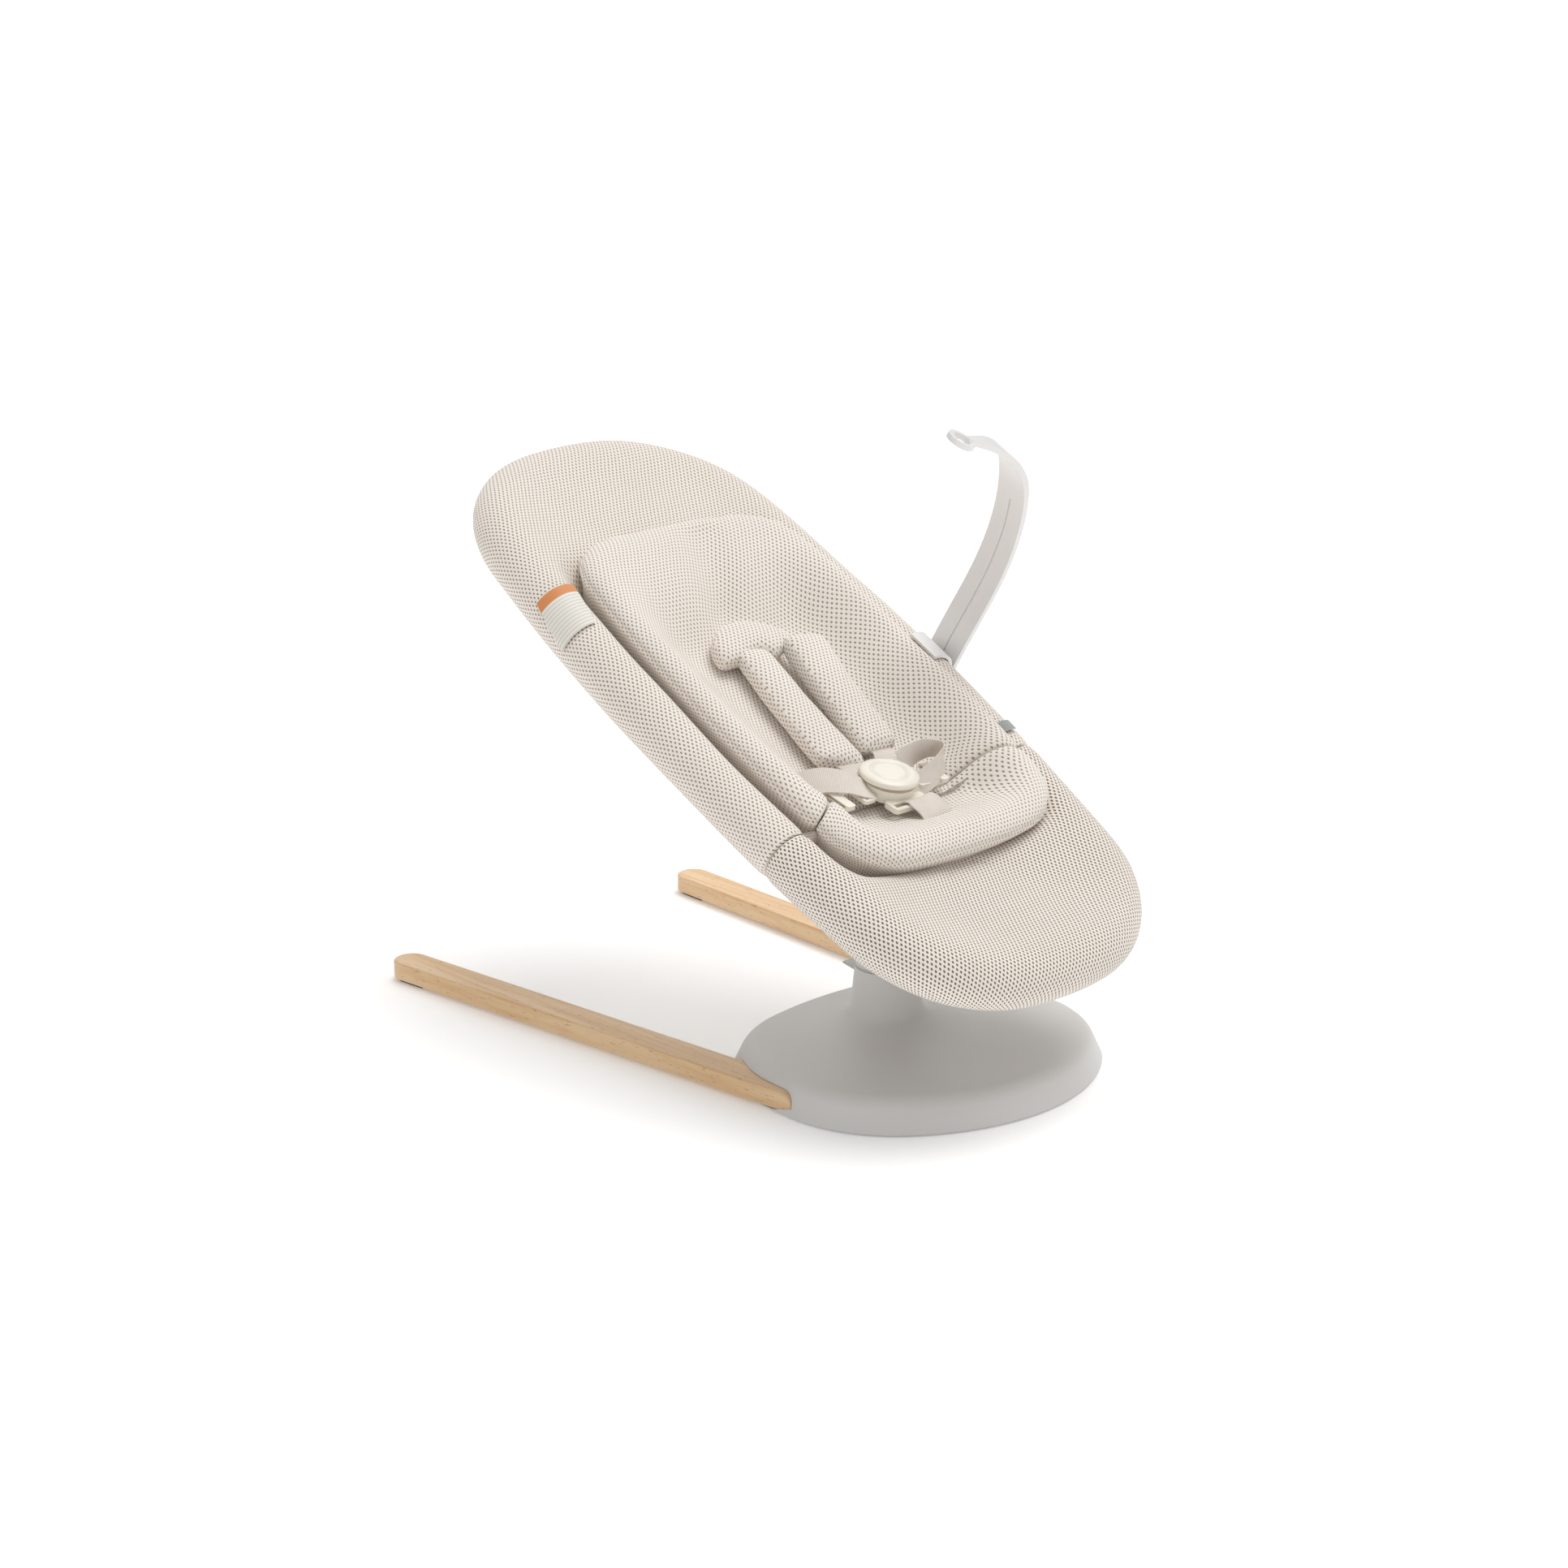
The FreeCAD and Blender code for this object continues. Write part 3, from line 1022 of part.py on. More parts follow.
# ------------------------------------------------------------------ toy bar
def bar_band(inner, outer, half):
    """The arch between two offsets from its centreline, half wide each way along s."""
    line = Part.BSplineCurve()
    line.interpolate([Vector(SEAT_HALF_WIDTH + a, 0, b) for a, b in BAR_LINE])
    count = 14
    first, last = line.FirstParameter, line.LastParameter

    def offset(dist):
        pts = []
        for i in range(count + 1):
            u = first + (last - first) * i / count
            p = line.value(u)
            t = line.tangent(u)[0]
            pts.append(p + Vector(t.z, 0, -t.x) * dist)
        curve = Part.BSplineCurve()
        curve.interpolate(pts)
        return curve, pts

    a, pa = offset(inner)
    b, pb = offset(outer)
    edges = [a.toShape(), Part.LineSegment(pa[-1], pb[-1]).toShape(), b.toShape(),
             Part.LineSegment(pb[0], pa[0]).toShape()]
    face = Part.Face(Part.Wire(Part.__sortEdges__(edges)))
    face.translate(Vector(0, BAR_S - half, 0))
    return face.extrude(Y * 2 * half)


def build_toy_bar():
    arch = bar_band(-BAR_T / 2, BAR_T / 2, BAR_WIDTH / 2)
    groove = bar_band(-BAR_T / 2 - GROOVE_OVER, -BAR_T / 2 + GROOVE_DEPTH, GROOVE_W / 2)
    groove = groove.common(box(0, BIG, -BIG, BIG, -BIG, GROOVE_TOP))
    arch = arch.cut(groove)
    x_full = SEAT_HALF_WIDTH + BAR_TAPER_FROM
    for way in (-1, 1):
        pts = [Vector(x_full, BAR_S + way * BAR_WIDTH / 2, 0)]
        pts += [Vector(x_full - run, BAR_S + way * half, 0) for run, half in BAR_TAPER]
        pts += [Vector(0, BAR_S + way * BAR_NECK, 0), Vector(0, BAR_S + way * BAR_WIDTH, 0),
                Vector(x_full, BAR_S + way * BAR_WIDTH, 0), pts[0]]
        trim = Part.Face(Part.makePolygon(pts)).extrude(Z * BAR_TAPER_H)
        trim.translate(Vector(0, 0, BAR_TAPER_H))
        arch = arch.cut(trim)
    end = Vector(SEAT_HALF_WIDTH + BAR_LINE[-1][0], BAR_S, BAR_LINE[-1][1])
    before = Vector(SEAT_HALF_WIDTH + BAR_LINE[-2][0], BAR_S, BAR_LINE[-2][1])
    way = (end - before).normalize()
    up = Vector(-way.z, 0, way.x) * -1.0
    centre = end + way * (EYE_R - 3.0)
    eye_t = BAR_T - 1.0
    eye = rod(EYE_R, centre - up * eye_t / 2, up, eye_t)
    hole = rod(EYE_HOLE_R, centre - up * eye_t, up, eye_t * 2)
    arch = arch.fuse(eye).cut(hole).removeSplitter()
    hook = rail_sweep(ring_sector(ROLL_R + CLIP_GAP, ROLL_R + CLIP_GAP + CLIP_WALL, HOOK_FROM, HOOK_TO, 1),
                      BAR_S - BAR_WIDTH / 2, BAR_S + BAR_WIDTH / 2, 1)
    pins = []
    for s in (BAR_S - BAR_PIN_HALF_APART, BAR_S + BAR_PIN_HALF_APART):
        x0 = side_x(s) + ROLL_R + CLIP_GAP + BAR_PIN_IN
        x1 = SEAT_HALF_WIDTH + BAR_LINE[1][0] + BAR_PIN_IN
        hook = hook.cut(rod(BAR_PIN_R + PIN_CLEAR, Vector(x0 - 0.2, s, 0), X, BIG))
        arch = arch.cut(rod(BAR_PIN_R + PIN_CLEAR, Vector(0, s, 0), X, x1 + 0.2))
        pins.append(rod(BAR_PIN_R, Vector(x0, s, 0), X, x1 - x0))
    save("toy_bar", to_row(arch))
    save("toy_bar_hook", to_row(hook))
    save("toy_bar_pins", to_row(Part.makeCompound(pins)))


build_legs()
build_leg_brackets()
build_base()
SPIGOT_TOP = build_post()
build_hub(SPIGOT_TOP)
build_disc_and_springs()
build_lever(SPIGOT_TOP)
build_frame()
build_carrier()
build_cover()
build_insert()
build_harness()
build_labels()
build_toy_bar()
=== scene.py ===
"""Looks of an infant bouncer seat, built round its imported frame.

Everything is in the row frame, in metres.  Soft pieces are drawn in the seat's own
frame first, in millimetres: x across, s along the seat towards the head, h square to
the rim's plane.
"""

from __future__ import annotations

import json
import logging
import math
from dataclasses import dataclass, replace
from enum import Enum
from typing import Callable, Sequence

import bmesh
import bpy
from mathutils import Matrix, Vector, noise

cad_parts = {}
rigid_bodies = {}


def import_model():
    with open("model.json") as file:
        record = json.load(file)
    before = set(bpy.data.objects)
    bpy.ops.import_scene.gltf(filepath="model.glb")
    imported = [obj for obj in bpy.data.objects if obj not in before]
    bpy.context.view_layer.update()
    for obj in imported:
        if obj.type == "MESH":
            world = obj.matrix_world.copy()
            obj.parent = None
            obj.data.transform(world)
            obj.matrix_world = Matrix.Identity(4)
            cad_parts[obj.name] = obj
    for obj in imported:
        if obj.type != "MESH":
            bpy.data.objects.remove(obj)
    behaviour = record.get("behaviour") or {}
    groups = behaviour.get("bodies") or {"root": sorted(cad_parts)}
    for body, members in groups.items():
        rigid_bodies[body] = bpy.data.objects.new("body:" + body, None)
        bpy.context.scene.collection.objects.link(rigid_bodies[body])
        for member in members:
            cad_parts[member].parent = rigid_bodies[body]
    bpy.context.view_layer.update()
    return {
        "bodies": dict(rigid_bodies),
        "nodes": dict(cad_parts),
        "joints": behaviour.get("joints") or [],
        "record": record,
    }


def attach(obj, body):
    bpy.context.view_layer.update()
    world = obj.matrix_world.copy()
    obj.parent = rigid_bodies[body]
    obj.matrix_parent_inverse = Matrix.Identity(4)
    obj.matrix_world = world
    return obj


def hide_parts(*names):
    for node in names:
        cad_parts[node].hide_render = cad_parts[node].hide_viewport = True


LOG = logging.getLogger("bouncer")
MM = 0.001
CLOTH_UV = "cloth"

SEAT_PITCH = math.radians(28.75)
PIVOT_HEIGHT = 134.0
PIVOT_BACK = 191.3
PIVOT_DROP = 106.4


class Body(Enum):
    """The moving groups of the frame that new pieces ride on."""

    BASE = "base"
    SEAT = "seat"
    BUTTON = "buckle_press"
    TOY_BAR = "toy_bar_arm"


def seat_matrix() -> Matrix:
    """Where the seat's own frame stands, from millimetres to metres.

    Returns:
        The matrix from (x, s, h) in millimetres to the row frame in metres.
    """
    along = Vector((0.0, math.cos(SEAT_PITCH), math.sin(SEAT_PITCH)))
    normal = Vector((0.0, -math.sin(SEAT_PITCH), math.cos(SEAT_PITCH)))
    centre = Vector((0.0, 0.0, PIVOT_HEIGHT)) + along * PIVOT_BACK + normal * PIVOT_DROP
    return Matrix.Translation(centre * MM) @ Matrix.Rotation(SEAT_PITCH, 4, "X") @ Matrix.Scale(MM, 4)


SEAT = seat_matrix()


def linear(code: str) -> tuple[float, float, float, float]:
    """Turn an sRGB hex value to linear light.

    Args:
        code: six hex digits, such as "EDE2D6".

    Returns:
        Linear red, green, blue and an alpha of one.
    """
    parts = [int(code[i:i + 2], 16) / 255.0 for i in (0, 2, 4)]
    light = [p / 12.92 if p <= 0.04045 else ((p + 0.055) / 1.055) ** 2.4 for p in parts]
    return light[0], light[1], light[2], 1.0


def smooth_step(low: float, high: float, value: float) -> float:
    """Ease from 0 at low to 1 at high."""
    t = min(1.0, max(0.0, (value - low) / (high - low)))
    return t * t * (3.0 - 2.0 * t)


# ---------------------------------------------------------------- finishes
class Finish:
    """A material under construction, with one helper that adds its nodes."""

    def __init__(self, name: str) -> None:
        """Start an empty node tree with a Principled shader.

        Args:
            name: what the material is.
        """
        self.material = bpy.data.materials.new(name)
        self.material.use_nodes = True
        self.tree = self.material.node_tree
        self.tree.nodes.clear()
        self.shader = self.add("ShaderNodeBsdfPrincipled")
        self.add("ShaderNodeOutputMaterial", {"Surface": self.shader.outputs["BSDF"]})

    def add(self, kind: str, inputs: dict | None = None, **settings: object) -> bpy.types.Node:
        """Add a node with its settings, values and links.

        Args:
            kind: the node's type.
            inputs: socket name or number to a value, or to the socket it is linked from.
            settings: the node's own properties.

        Returns:
            The new node.
        """
        made = self.tree.nodes.new(kind)
        for key, value in settings.items():
            setattr(made, key, value)
        for key, value in (inputs or {}).items():
            socket = made.inputs[key]
            if isinstance(value, bpy.types.NodeSocket):
                self.tree.links.new(value, socket)
            else:
                socket.default_value = value
        return made

    def dress(self, **values: object) -> None:
        """Set or link the shader's sockets, with _ for each space in a name."""
        for key, value in values.items():
            socket = self.shader.inputs[key.replace("_", " ")]
            if isinstance(value, bpy.types.NodeSocket):
                self.tree.links.new(value, socket)
            else:
                socket.default_value = value

    def bump(self, height: bpy.types.NodeSocket, distance: float, strength: float = 1.0) -> None:
        """Raise the surface by a height pattern.

        Args:
            height: the pattern, 0 to 1.
            distance: how far 1 stands above 0, in metres.
            strength: share of the effect.
        """
        node = self.add("ShaderNodeBump", {"Height": height, "Distance": distance, "Strength": strength})
        self.dress(Normal=node.outputs["Normal"])


def colour_socket(sockets: bpy.types.NodeInputs | bpy.types.NodeOutputs) -> bpy.types.NodeSocket:
    """The first colour socket of a mixing node, which also has number and vector ones."""
    return next(s for s in sockets if s.type == "RGBA")


@dataclass(frozen=True)
class AirMesh:
    """Knitted polyester spacer mesh: a soft matt cloth with rows of small open eyelets, painted darker as the
    shade inside each hole.
    """

    name: str
    thread: str = "F6EEE5"
    shade: str = "EEE4D9"
    # painted shade: the colour seen inside each eyelet, standing for the shade in the hole
    eyelet_shade: str = "9A887A"
    across: float = 4.6
    rows: float = 7.6
    open_from: float = 0.34
    open_to: float = 0.72
    depth: float = 0.7

    def make(self) -> bpy.types.Material:
        """Build the material.

        Returns:
            Cloth whose eyelets follow the piece's own cloth map, in real millimetres.
        """
        f = Finish(self.name)
        uv = f.add("ShaderNodeUVMap", uv_map=CLOTH_UV)
        # the knit wanders a little, as cloth pulled over foam does
        drift = f.add("ShaderNodeTexNoise", {"Vector": uv.outputs[0], "Scale": 14.0, "Detail": 1.0})
        pull = f.add("ShaderNodeVectorMath", {0: drift.outputs["Color"], 1: (0.004, 0.004, 0.0)},
                     operation="MULTIPLY")
        laid = f.add("ShaderNodeVectorMath", {0: uv.outputs[0], 1: pull.outputs[0]}, operation="ADD")
        split = f.add("ShaderNodeSeparateXYZ", {0: laid.outputs[0]})
        waves = []
        for socket, pitch in ((split.outputs["X"], self.across), (split.outputs["Y"], self.rows)):
            turn = f.add("ShaderNodeMath", {0: socket, 1: 2.0 * math.pi / (pitch * MM)}, operation="MULTIPLY")
            waves.append(f.add("ShaderNodeMath", {0: turn.outputs[0]}, operation="COSINE"))
        lattice = f.add("ShaderNodeMath", {0: waves[0].outputs[0], 1: waves[1].outputs[0]},
                        operation="MULTIPLY")
        hole = f.add("ShaderNodeMapRange", {"Value": lattice.outputs[0], "From Min": self.open_from,
                                            "From Max": self.open_to}, interpolation_type="SMOOTHSTEP")
        cloud = f.add("ShaderNodeTexNoise", {"Vector": uv.outputs[0], "Scale": 9.0, "Detail": 3.0})
        yarn = f.add("ShaderNodeMix", {"Factor": cloud.outputs["Fac"], "A": linear(self.thread),
                                       "B": linear(self.shade)}, data_type="RGBA")
        self.mix_in(f, yarn, hole, uv)
        return f.material

    def mix_in(self, f: Finish, yarn: bpy.types.Node, hole: bpy.types.Node, uv: bpy.types.Node) -> None:
        """Put the eyelets into the relief, and into the colour as painted shade in each hole.

        Args:
            f: the material under construction.
            yarn: the thread's colour.
            hole: the mask of the eyelets, where the painted shade goes.
            uv: the cloth map.
        """
        # painted shade: darken each eyelet towards its shade colour
        colour = f.add("ShaderNodeMix", {"Factor": hole.outputs[0], "B": linear(self.eyelet_shade)},
                       data_type="RGBA")
        f.tree.links.new(yarn.outputs["Result"], colour_socket(colour.inputs))
        fuzz = f.add("ShaderNodeTexNoise", {"Vector": uv.outputs[0], "Scale": 900.0, "Detail": 2.0})
        raised = f.add("ShaderNodeMath", {0: fuzz.outputs["Fac"], 1: 0.25}, operation="MULTIPLY")
        relief = f.add("ShaderNodeMath", {0: raised.outputs[0], 1: hole.outputs[0]}, operation="SUBTRACT")
        f.bump(relief.outputs[0], self.depth * MM, 0.8)
        f.dress(Base_Color=colour_socket(colour.outputs), Roughness=0.88, Sheen_Weight=0.25,
                Sheen_Roughness=0.5, Specular_IOR_Level=0.25)


@dataclass(frozen=True)
class Webbing:
    """Polyester harness tape: close ribs across a flat satin band, with painted shade in the grooves between
    the ribs.
    """

    name: str
    yarn: str = "EFE7DE"
    # the colour that the rib grooves darken towards as painted shade, and that random mottles darken towards
    # too
    dark: str = "D8CBBF"
    rib: float = 1.7

    def make(self) -> bpy.types.Material:
        """Build the material.

        Returns:
            Tape with ribs across its length, drawn a little coarser than real so they show, and painted
            darker in the grooves as shade.
        """
        f = Finish(self.name)
        uv = f.add("ShaderNodeUVMap", uv_map=CLOTH_UV)
        split = f.add("ShaderNodeSeparateXYZ", {0: uv.outputs[0]})
        turn = f.add("ShaderNodeMath", {0: split.outputs["Y"], 1: 2.0 * math.pi / (self.rib * MM)},
                     operation="MULTIPLY")
        wave = f.add("ShaderNodeMath", {0: turn.outputs[0]}, operation="SINE")
        rib = f.add("ShaderNodeMapRange", {"Value": wave.outputs[0], "From Min": -1.0, "From Max": 1.0})
        wear = f.add("ShaderNodeTexNoise", {"Vector": uv.outputs[0], "Scale": 60.0, "Detail": 3.0})
        # painted shade: darker where the ribs dip, mixed with random mottling from the noise
        groove_shade_and_mottle = f.add("ShaderNodeMath", {0: wear.outputs["Fac"], 1: rib.outputs[0]}, operation="MULTIPLY")
        ramp = f.add("ShaderNodeValToRGB", {0: groove_shade_and_mottle.outputs[0]})
        ramp.color_ramp.elements[0].color = linear(self.dark)
        ramp.color_ramp.elements[1].color = linear(self.yarn)
        ramp.color_ramp.elements[1].position = 0.45
        f.bump(rib.outputs[0], 0.25 * MM, 0.7)
        f.dress(Base_Color=ramp.outputs["Color"], Roughness=0.62, Sheen_Weight=0.2)
        return f.material


@dataclass(frozen=True)
class Moulded:
    """Injection moulded plastic: even colour, faint spark-eroded grain, soft highlights."""

    name: str
    colour: str
    roughness: float = 0.42
    grain: float = 0.6
    relief: float = 0.02
    coat: float = 0.0

    def make(self) -> bpy.types.Material:
        """Build the material.

        Returns:
            Plastic with a fine grain in real millimetres.
        """
        f = Finish(self.name)
        place = f.add("ShaderNodeTexCoord")
        grain = f.add("ShaderNodeTexNoise", {"Vector": place.outputs["Object"], "Detail": 2.0,
                                             "Scale": 1.0 / (self.grain * MM)})
        cloud = f.add("ShaderNodeTexNoise", {"Vector": place.outputs["Object"], "Scale": 7.0, "Detail": 3.0})
        spread = f.add("ShaderNodeMapRange", {"Value": cloud.outputs["Fac"], "To Min": self.roughness - 0.05,
                                              "To Max": self.roughness + 0.06})
        base = linear(self.colour)
        worn = tuple(c * 0.955 for c in base[:3]) + (1.0,)
        tint = f.add("ShaderNodeMix", {"Factor": cloud.outputs["Fac"]}, data_type="RGBA")
        for socket, value in zip([s for s in tint.inputs if s.type == "RGBA"], (base, worn)):
            socket.default_value = value
        f.bump(grain.outputs["Fac"], self.relief * MM, 0.6)
        f.dress(Base_Color=colour_socket(tint.outputs), Roughness=spread.outputs[0],
                Coat_Weight=self.coat, IOR=1.5)
        return f.material


@dataclass(frozen=True)
class Beech:
    """Steamed beech board under clear satin lacquer: straight grain with short dark flecks."""

    name: str = "lacquered_beech"
    early: str = "E8C89E"
    late: str = "D9AE7C"
    fleck: str = "A87A49"

    def make(self) -> bpy.types.Material:
        """Build the material.

        Returns:
            Wood whose grain runs along the leg, from the piece's own place in the frame.
        """
        f = Finish(self.name)
        place = f.add("ShaderNodeTexCoord")
        along = f.add("ShaderNodeMapping", {"Vector": place.outputs["Object"], "Scale": (30.0, 1.3, 30.0)})
        grain = f.add("ShaderNodeTexNoise", {"Vector": along.outputs[0], "Scale": 3.2, "Detail": 6.0,
                                             "Roughness": 0.62, "Distortion": 0.4})
        ramp = f.add("ShaderNodeValToRGB", {0: grain.outputs["Fac"]})
        ramp.color_ramp.elements[0].color = linear(self.late)
        ramp.color_ramp.elements[0].position = 0.32
        ramp.color_ramp.elements[1].color = linear(self.early)
        ramp.color_ramp.elements[1].position = 0.62
        ray = f.add("ShaderNodeMapping", {"Vector": place.outputs["Object"], "Scale": (520.0, 95.0, 520.0)})
        rays = f.add("ShaderNodeTexNoise", {"Vector": ray.outputs[0], "Scale": 1.0, "Detail": 2.0})
        flecks = f.add("ShaderNodeMapRange", {"Value": rays.outputs["Fac"], "From Min": 0.62,
                                              "From Max": 0.72, "To Max": 0.55})
        colour = f.add("ShaderNodeMix", {"Factor": flecks.outputs[0]}, data_type="RGBA")
        slots = [s for s in colour.inputs if s.type == "RGBA"]
        f.tree.links.new(ramp.outputs["Color"], slots[0])
        slots[1].default_value = linear(self.fleck)
        f.bump(rays.outputs["Fac"], 0.03 * MM, 0.4)
        f.dress(Base_Color=colour_socket(colour.outputs), Roughness=0.48, Coat_Weight=0.15,
                Coat_Roughness=0.3)
        return f.material


@dataclass(frozen=True)
class Metal:
    """Plated, bare or sintered metal: fine drawing lines over a metallic base."""

    name: str
    colour: str
    roughness: float = 0.35

    def make(self) -> bpy.types.Material:
        """Build the material.

        Returns:
            Metal with fine lines, drawn about a millimetre apart so they show.
        """
        f = Finish(self.name)
        place = f.add("ShaderNodeTexCoord")
        lines = f.add("ShaderNodeTexNoise", {"Vector": place.outputs["Object"], "Scale": 900.0,
                                             "Detail": 3.0})
        spread = f.add("ShaderNodeMapRange", {"Value": lines.outputs["Fac"], "To Min": self.roughness - 0.1,
                                              "To Max": self.roughness + 0.12})
        f.bump(lines.outputs["Fac"], 0.02 * MM, 0.4)
        f.dress(Base_Color=linear(self.colour), Metallic=1.0, Roughness=spread.outputs[0])
        return f.material


@dataclass(frozen=True)
class WovenLabel:
    """Satin care label: off-white, a plain coloured head band and faint ruled rows, all blank."""

    name: str = "satin_label"
    ground: str = "EAE6DC"
    band: str = "D98A4E"
    rule: str = "B9B4AB"

    def make(self) -> bpy.types.Material:
        """Build the material.

        Returns:
            Label cloth that follows its own map: v runs from foot to head, 0 to 1.
        """
        f = Finish(self.name)
        uv = f.add("ShaderNodeUVMap", uv_map=CLOTH_UV)
        split = f.add("ShaderNodeSeparateXYZ", {0: uv.outputs[0]})
        head = f.add("ShaderNodeMath", {0: split.outputs["Y"], 1: 0.8}, operation="GREATER_THAN")
        turn = f.add("ShaderNodeMath", {0: split.outputs["Y"], 1: 88.0}, operation="MULTIPLY")
        wave = f.add("ShaderNodeMath", {0: turn.outputs[0]}, operation="SINE")
        rows = f.add("ShaderNodeMapRange", {"Value": wave.outputs[0], "From Min": 0.2, "From Max": 0.9,
                                            "To Max": 0.55})
        first = f.add("ShaderNodeMix", {"Factor": rows.outputs[0]}, data_type="RGBA")
        ends = [s for s in first.inputs if s.type == "RGBA"]
        ends[0].default_value = linear(self.ground)
        ends[1].default_value = linear(self.rule)
        last = f.add("ShaderNodeMix", {"Factor": head.outputs[0]}, data_type="RGBA")
        ends = [s for s in last.inputs if s.type == "RGBA"]
        f.tree.links.new(next(s for s in first.outputs if s.type == "RGBA"), ends[0])
        ends[1].default_value = linear(self.band)
        f.dress(Base_Color=colour_socket(last.outputs), Roughness=0.55, Sheen_Weight=0.2)
        return f.material


@dataclass
class Finishes:
    """Every finish of the seat, made once."""

    def __post_init__(self) -> None:
        """Make the materials."""
        # each spacer mesh's eyelet colour, given here or by default, is painted shade inside its holes
        self.mesh = AirMesh("spacer_mesh_cream").make()
        self.foot_mesh = AirMesh("spacer_mesh_open_cream", eyelet_shade="7C6B5E", across=4.4, rows=7.3,
                                 open_from=0.22, open_to=0.58).make()
        self.pad_mesh = AirMesh("spacer_mesh_fine_cream", thread="F7F0E8", shade="F0E7DD", eyelet_shade="A39284",
                                open_from=0.38, open_to=0.76).make()
        self.webbing = Webbing("polyester_webbing").make()
        self.label = WovenLabel().make()
        # the tab's dark colour is painted shade in its rib grooves, mixed with random mottle
        self.tab = Webbing("grey_twill_tab", yarn="C9CFCB", dark="A9B0AC", rib=1.0).make()
        self.thread = Moulded("sewing_thread", "D9C8B6", roughness=0.7, grain=0.3).make()
        # painted shade: the white shell's colour is greyed to stand for the seat's shadow that falls over the
        # base
        self.base = Moulded("white_abs_shell_painted_shade", "DCDAD7", roughness=0.5, grain=0.9, relief=0.03).make()
        self.grey = Moulded("light_grey_abs", "C9C9C7", roughness=0.4).make()
        self.bar = Moulded("pale_grey_acetal", "ECEAE8", roughness=0.33, coat=0.1).make()
        self.cream = Moulded("cream_acetal", "F5EFE1", roughness=0.34, coat=0.15).make()
        self.nylon = Moulded("dark_nylon", "2A2A2C", roughness=0.5).make()
        self.rubber = Moulded("black_rubber", "1E1E1F", roughness=0.75, grain=0.5, relief=0.05).make()
        self.powder = Moulded("grey_powder_coat", "A9A8A6", roughness=0.55, grain=0.7, relief=0.05).make()
        self.beech = Beech().make()
        self.zinc = Metal("zinc_plated_steel", "BFC1C3").make()
        self.spring = Metal("oiled_spring_steel", "6D6E72", roughness=0.3).make()
        self.bronze = Metal("sintered_bronze", "A98452", roughness=0.45).make()

    def by_slot(self) -> dict[str, bpy.types.Material]:
        """Which finish each of the record's slots takes."""
        return {"abs_white": self.base, "abs_grey": self.grey, "steel_plate": self.zinc,
                "rubber_dark": self.rubber, "beech": self.beech, "zinc_steel": self.zinc,
                "bronze": self.bronze, "spring_steel": self.spring, "nylon_dark": self.nylon,
                "powder_grey": self.powder, "air_mesh": self.mesh,
                "webbing": self.webbing, "acetal_cream": self.cream, "label_satin": self.label,
                "tab_twill": self.tab, "toy_bar_abs": self.bar}


# ---------------------------------------------------------------- shapes
@dataclass(frozen=True)
class Station:
    """One place on an oval: the centre and radius of its arc, and the outward direction."""

    cx: float
    cy: float
    radius: float
    ux: float
    uy: float

    def at(self, inset: float, height: float = 0.0) -> Vector:
        """The point that far inside the oval, at a height."""
        reach = self.radius - inset
        return Vector((self.cx + reach * self.ux, self.cy + reach * self.uy, height))

    def cloth(self, run: float) -> tuple[float, float]:
        """The cloth map of a point that lies run further out along the cloth, in metres."""
        reach = self.radius + run
        return ((self.cx + reach * self.ux) * MM, (self.cy + reach * self.uy) * MM)


@dataclass(frozen=True)
class Oval:
    """An oval of tangent arcs, the same on both sides: side, corner and end radii."""

    half_width: float
    head: float
    foot: float
    radii: tuple[float, float, float]
    middle: float = 0.0

    def quarter(self, length: float) -> list[tuple[float, float, float, float, float]]:
        """Arcs from the end to the side of a quarter in +x.

        Args:
            length: from the widest line to that end.

        Returns:
            One (x, y, radius, first angle, last angle) for each arc.
        """
        side, corner, end = self.radii
        low = Vector((0.0, length - end))
        wide = Vector((self.half_width - side, 0.0))
        span = wide - low
        d = span.length
        run = ((end - corner) ** 2 - (side - corner) ** 2 + d * d) / (2.0 * d)
        rise = math.sqrt((end - corner) ** 2 - run * run)
        unit = span / d
        out = Vector((-unit.y, unit.x))
        out = out if out.x > 0.0 else -out
        mid = low + unit * run + out * rise
        a_end = math.atan2(mid.y - low.y, mid.x - low.x)
        a_side = math.atan2(mid.y - wide.y, mid.x - wide.x)
        return [(low.x, low.y, end, math.pi / 2.0, a_end), (mid.x, mid.y, corner, a_end, a_side),
                (wide.x, wide.y, side, a_side, 0.0)]

    def stations(self, step: float) -> list[Station]:
        """Places all round the oval, about step apart, from the head end round +x."""
        half: list[Station] = []
        for length, way in ((self.head, 1.0), (self.foot, -1.0)):
            part: list[Station] = []
            for x, y, r, a0, a1 in self.quarter(length):
                count = max(4, round(abs(a1 - a0) * r / step))
                for i in range(count):
                    a = a0 + (a1 - a0) * i / count
                    part.append(Station(x, self.middle + way * y, r, math.cos(a), way * math.sin(a)))
            x, y, r, _, a1 = self.quarter(length)[-1]
            part.append(Station(x, self.middle + way * y, r, math.cos(a1), way * math.sin(a1)))
            half += part if way > 0.0 else part[-2::-1]
        other = [Station(-s.cx, s.cy, s.radius, -s.ux, s.uy) for s in half[-2:0:-1]]
        return half + other


def new_object(bm: bmesh.types.BMesh, name: str, material: bpy.types.Material) -> bpy.types.Object:
    """Turn a bmesh into a smooth object at the world origin and free the bmesh."""
    data = bpy.data.meshes.new(name)
    bm.to_mesh(data)
    bm.free()
    data.materials.append(material)
    made = bpy.data.objects.new(name, data)
    bpy.context.scene.collection.objects.link(made)
    return made


def mark_sharp(bm: bmesh.types.BMesh, degrees: float) -> None:
    """Shade every face smooth and keep the edges steeper than this sharp."""
    limit = math.radians(degrees)
    for face in bm.faces:
        face.smooth = True
    for edge in bm.edges:
        edge.smooth = not (len(edge.link_faces) == 2 and edge.calc_face_angle(0.0) > limit)


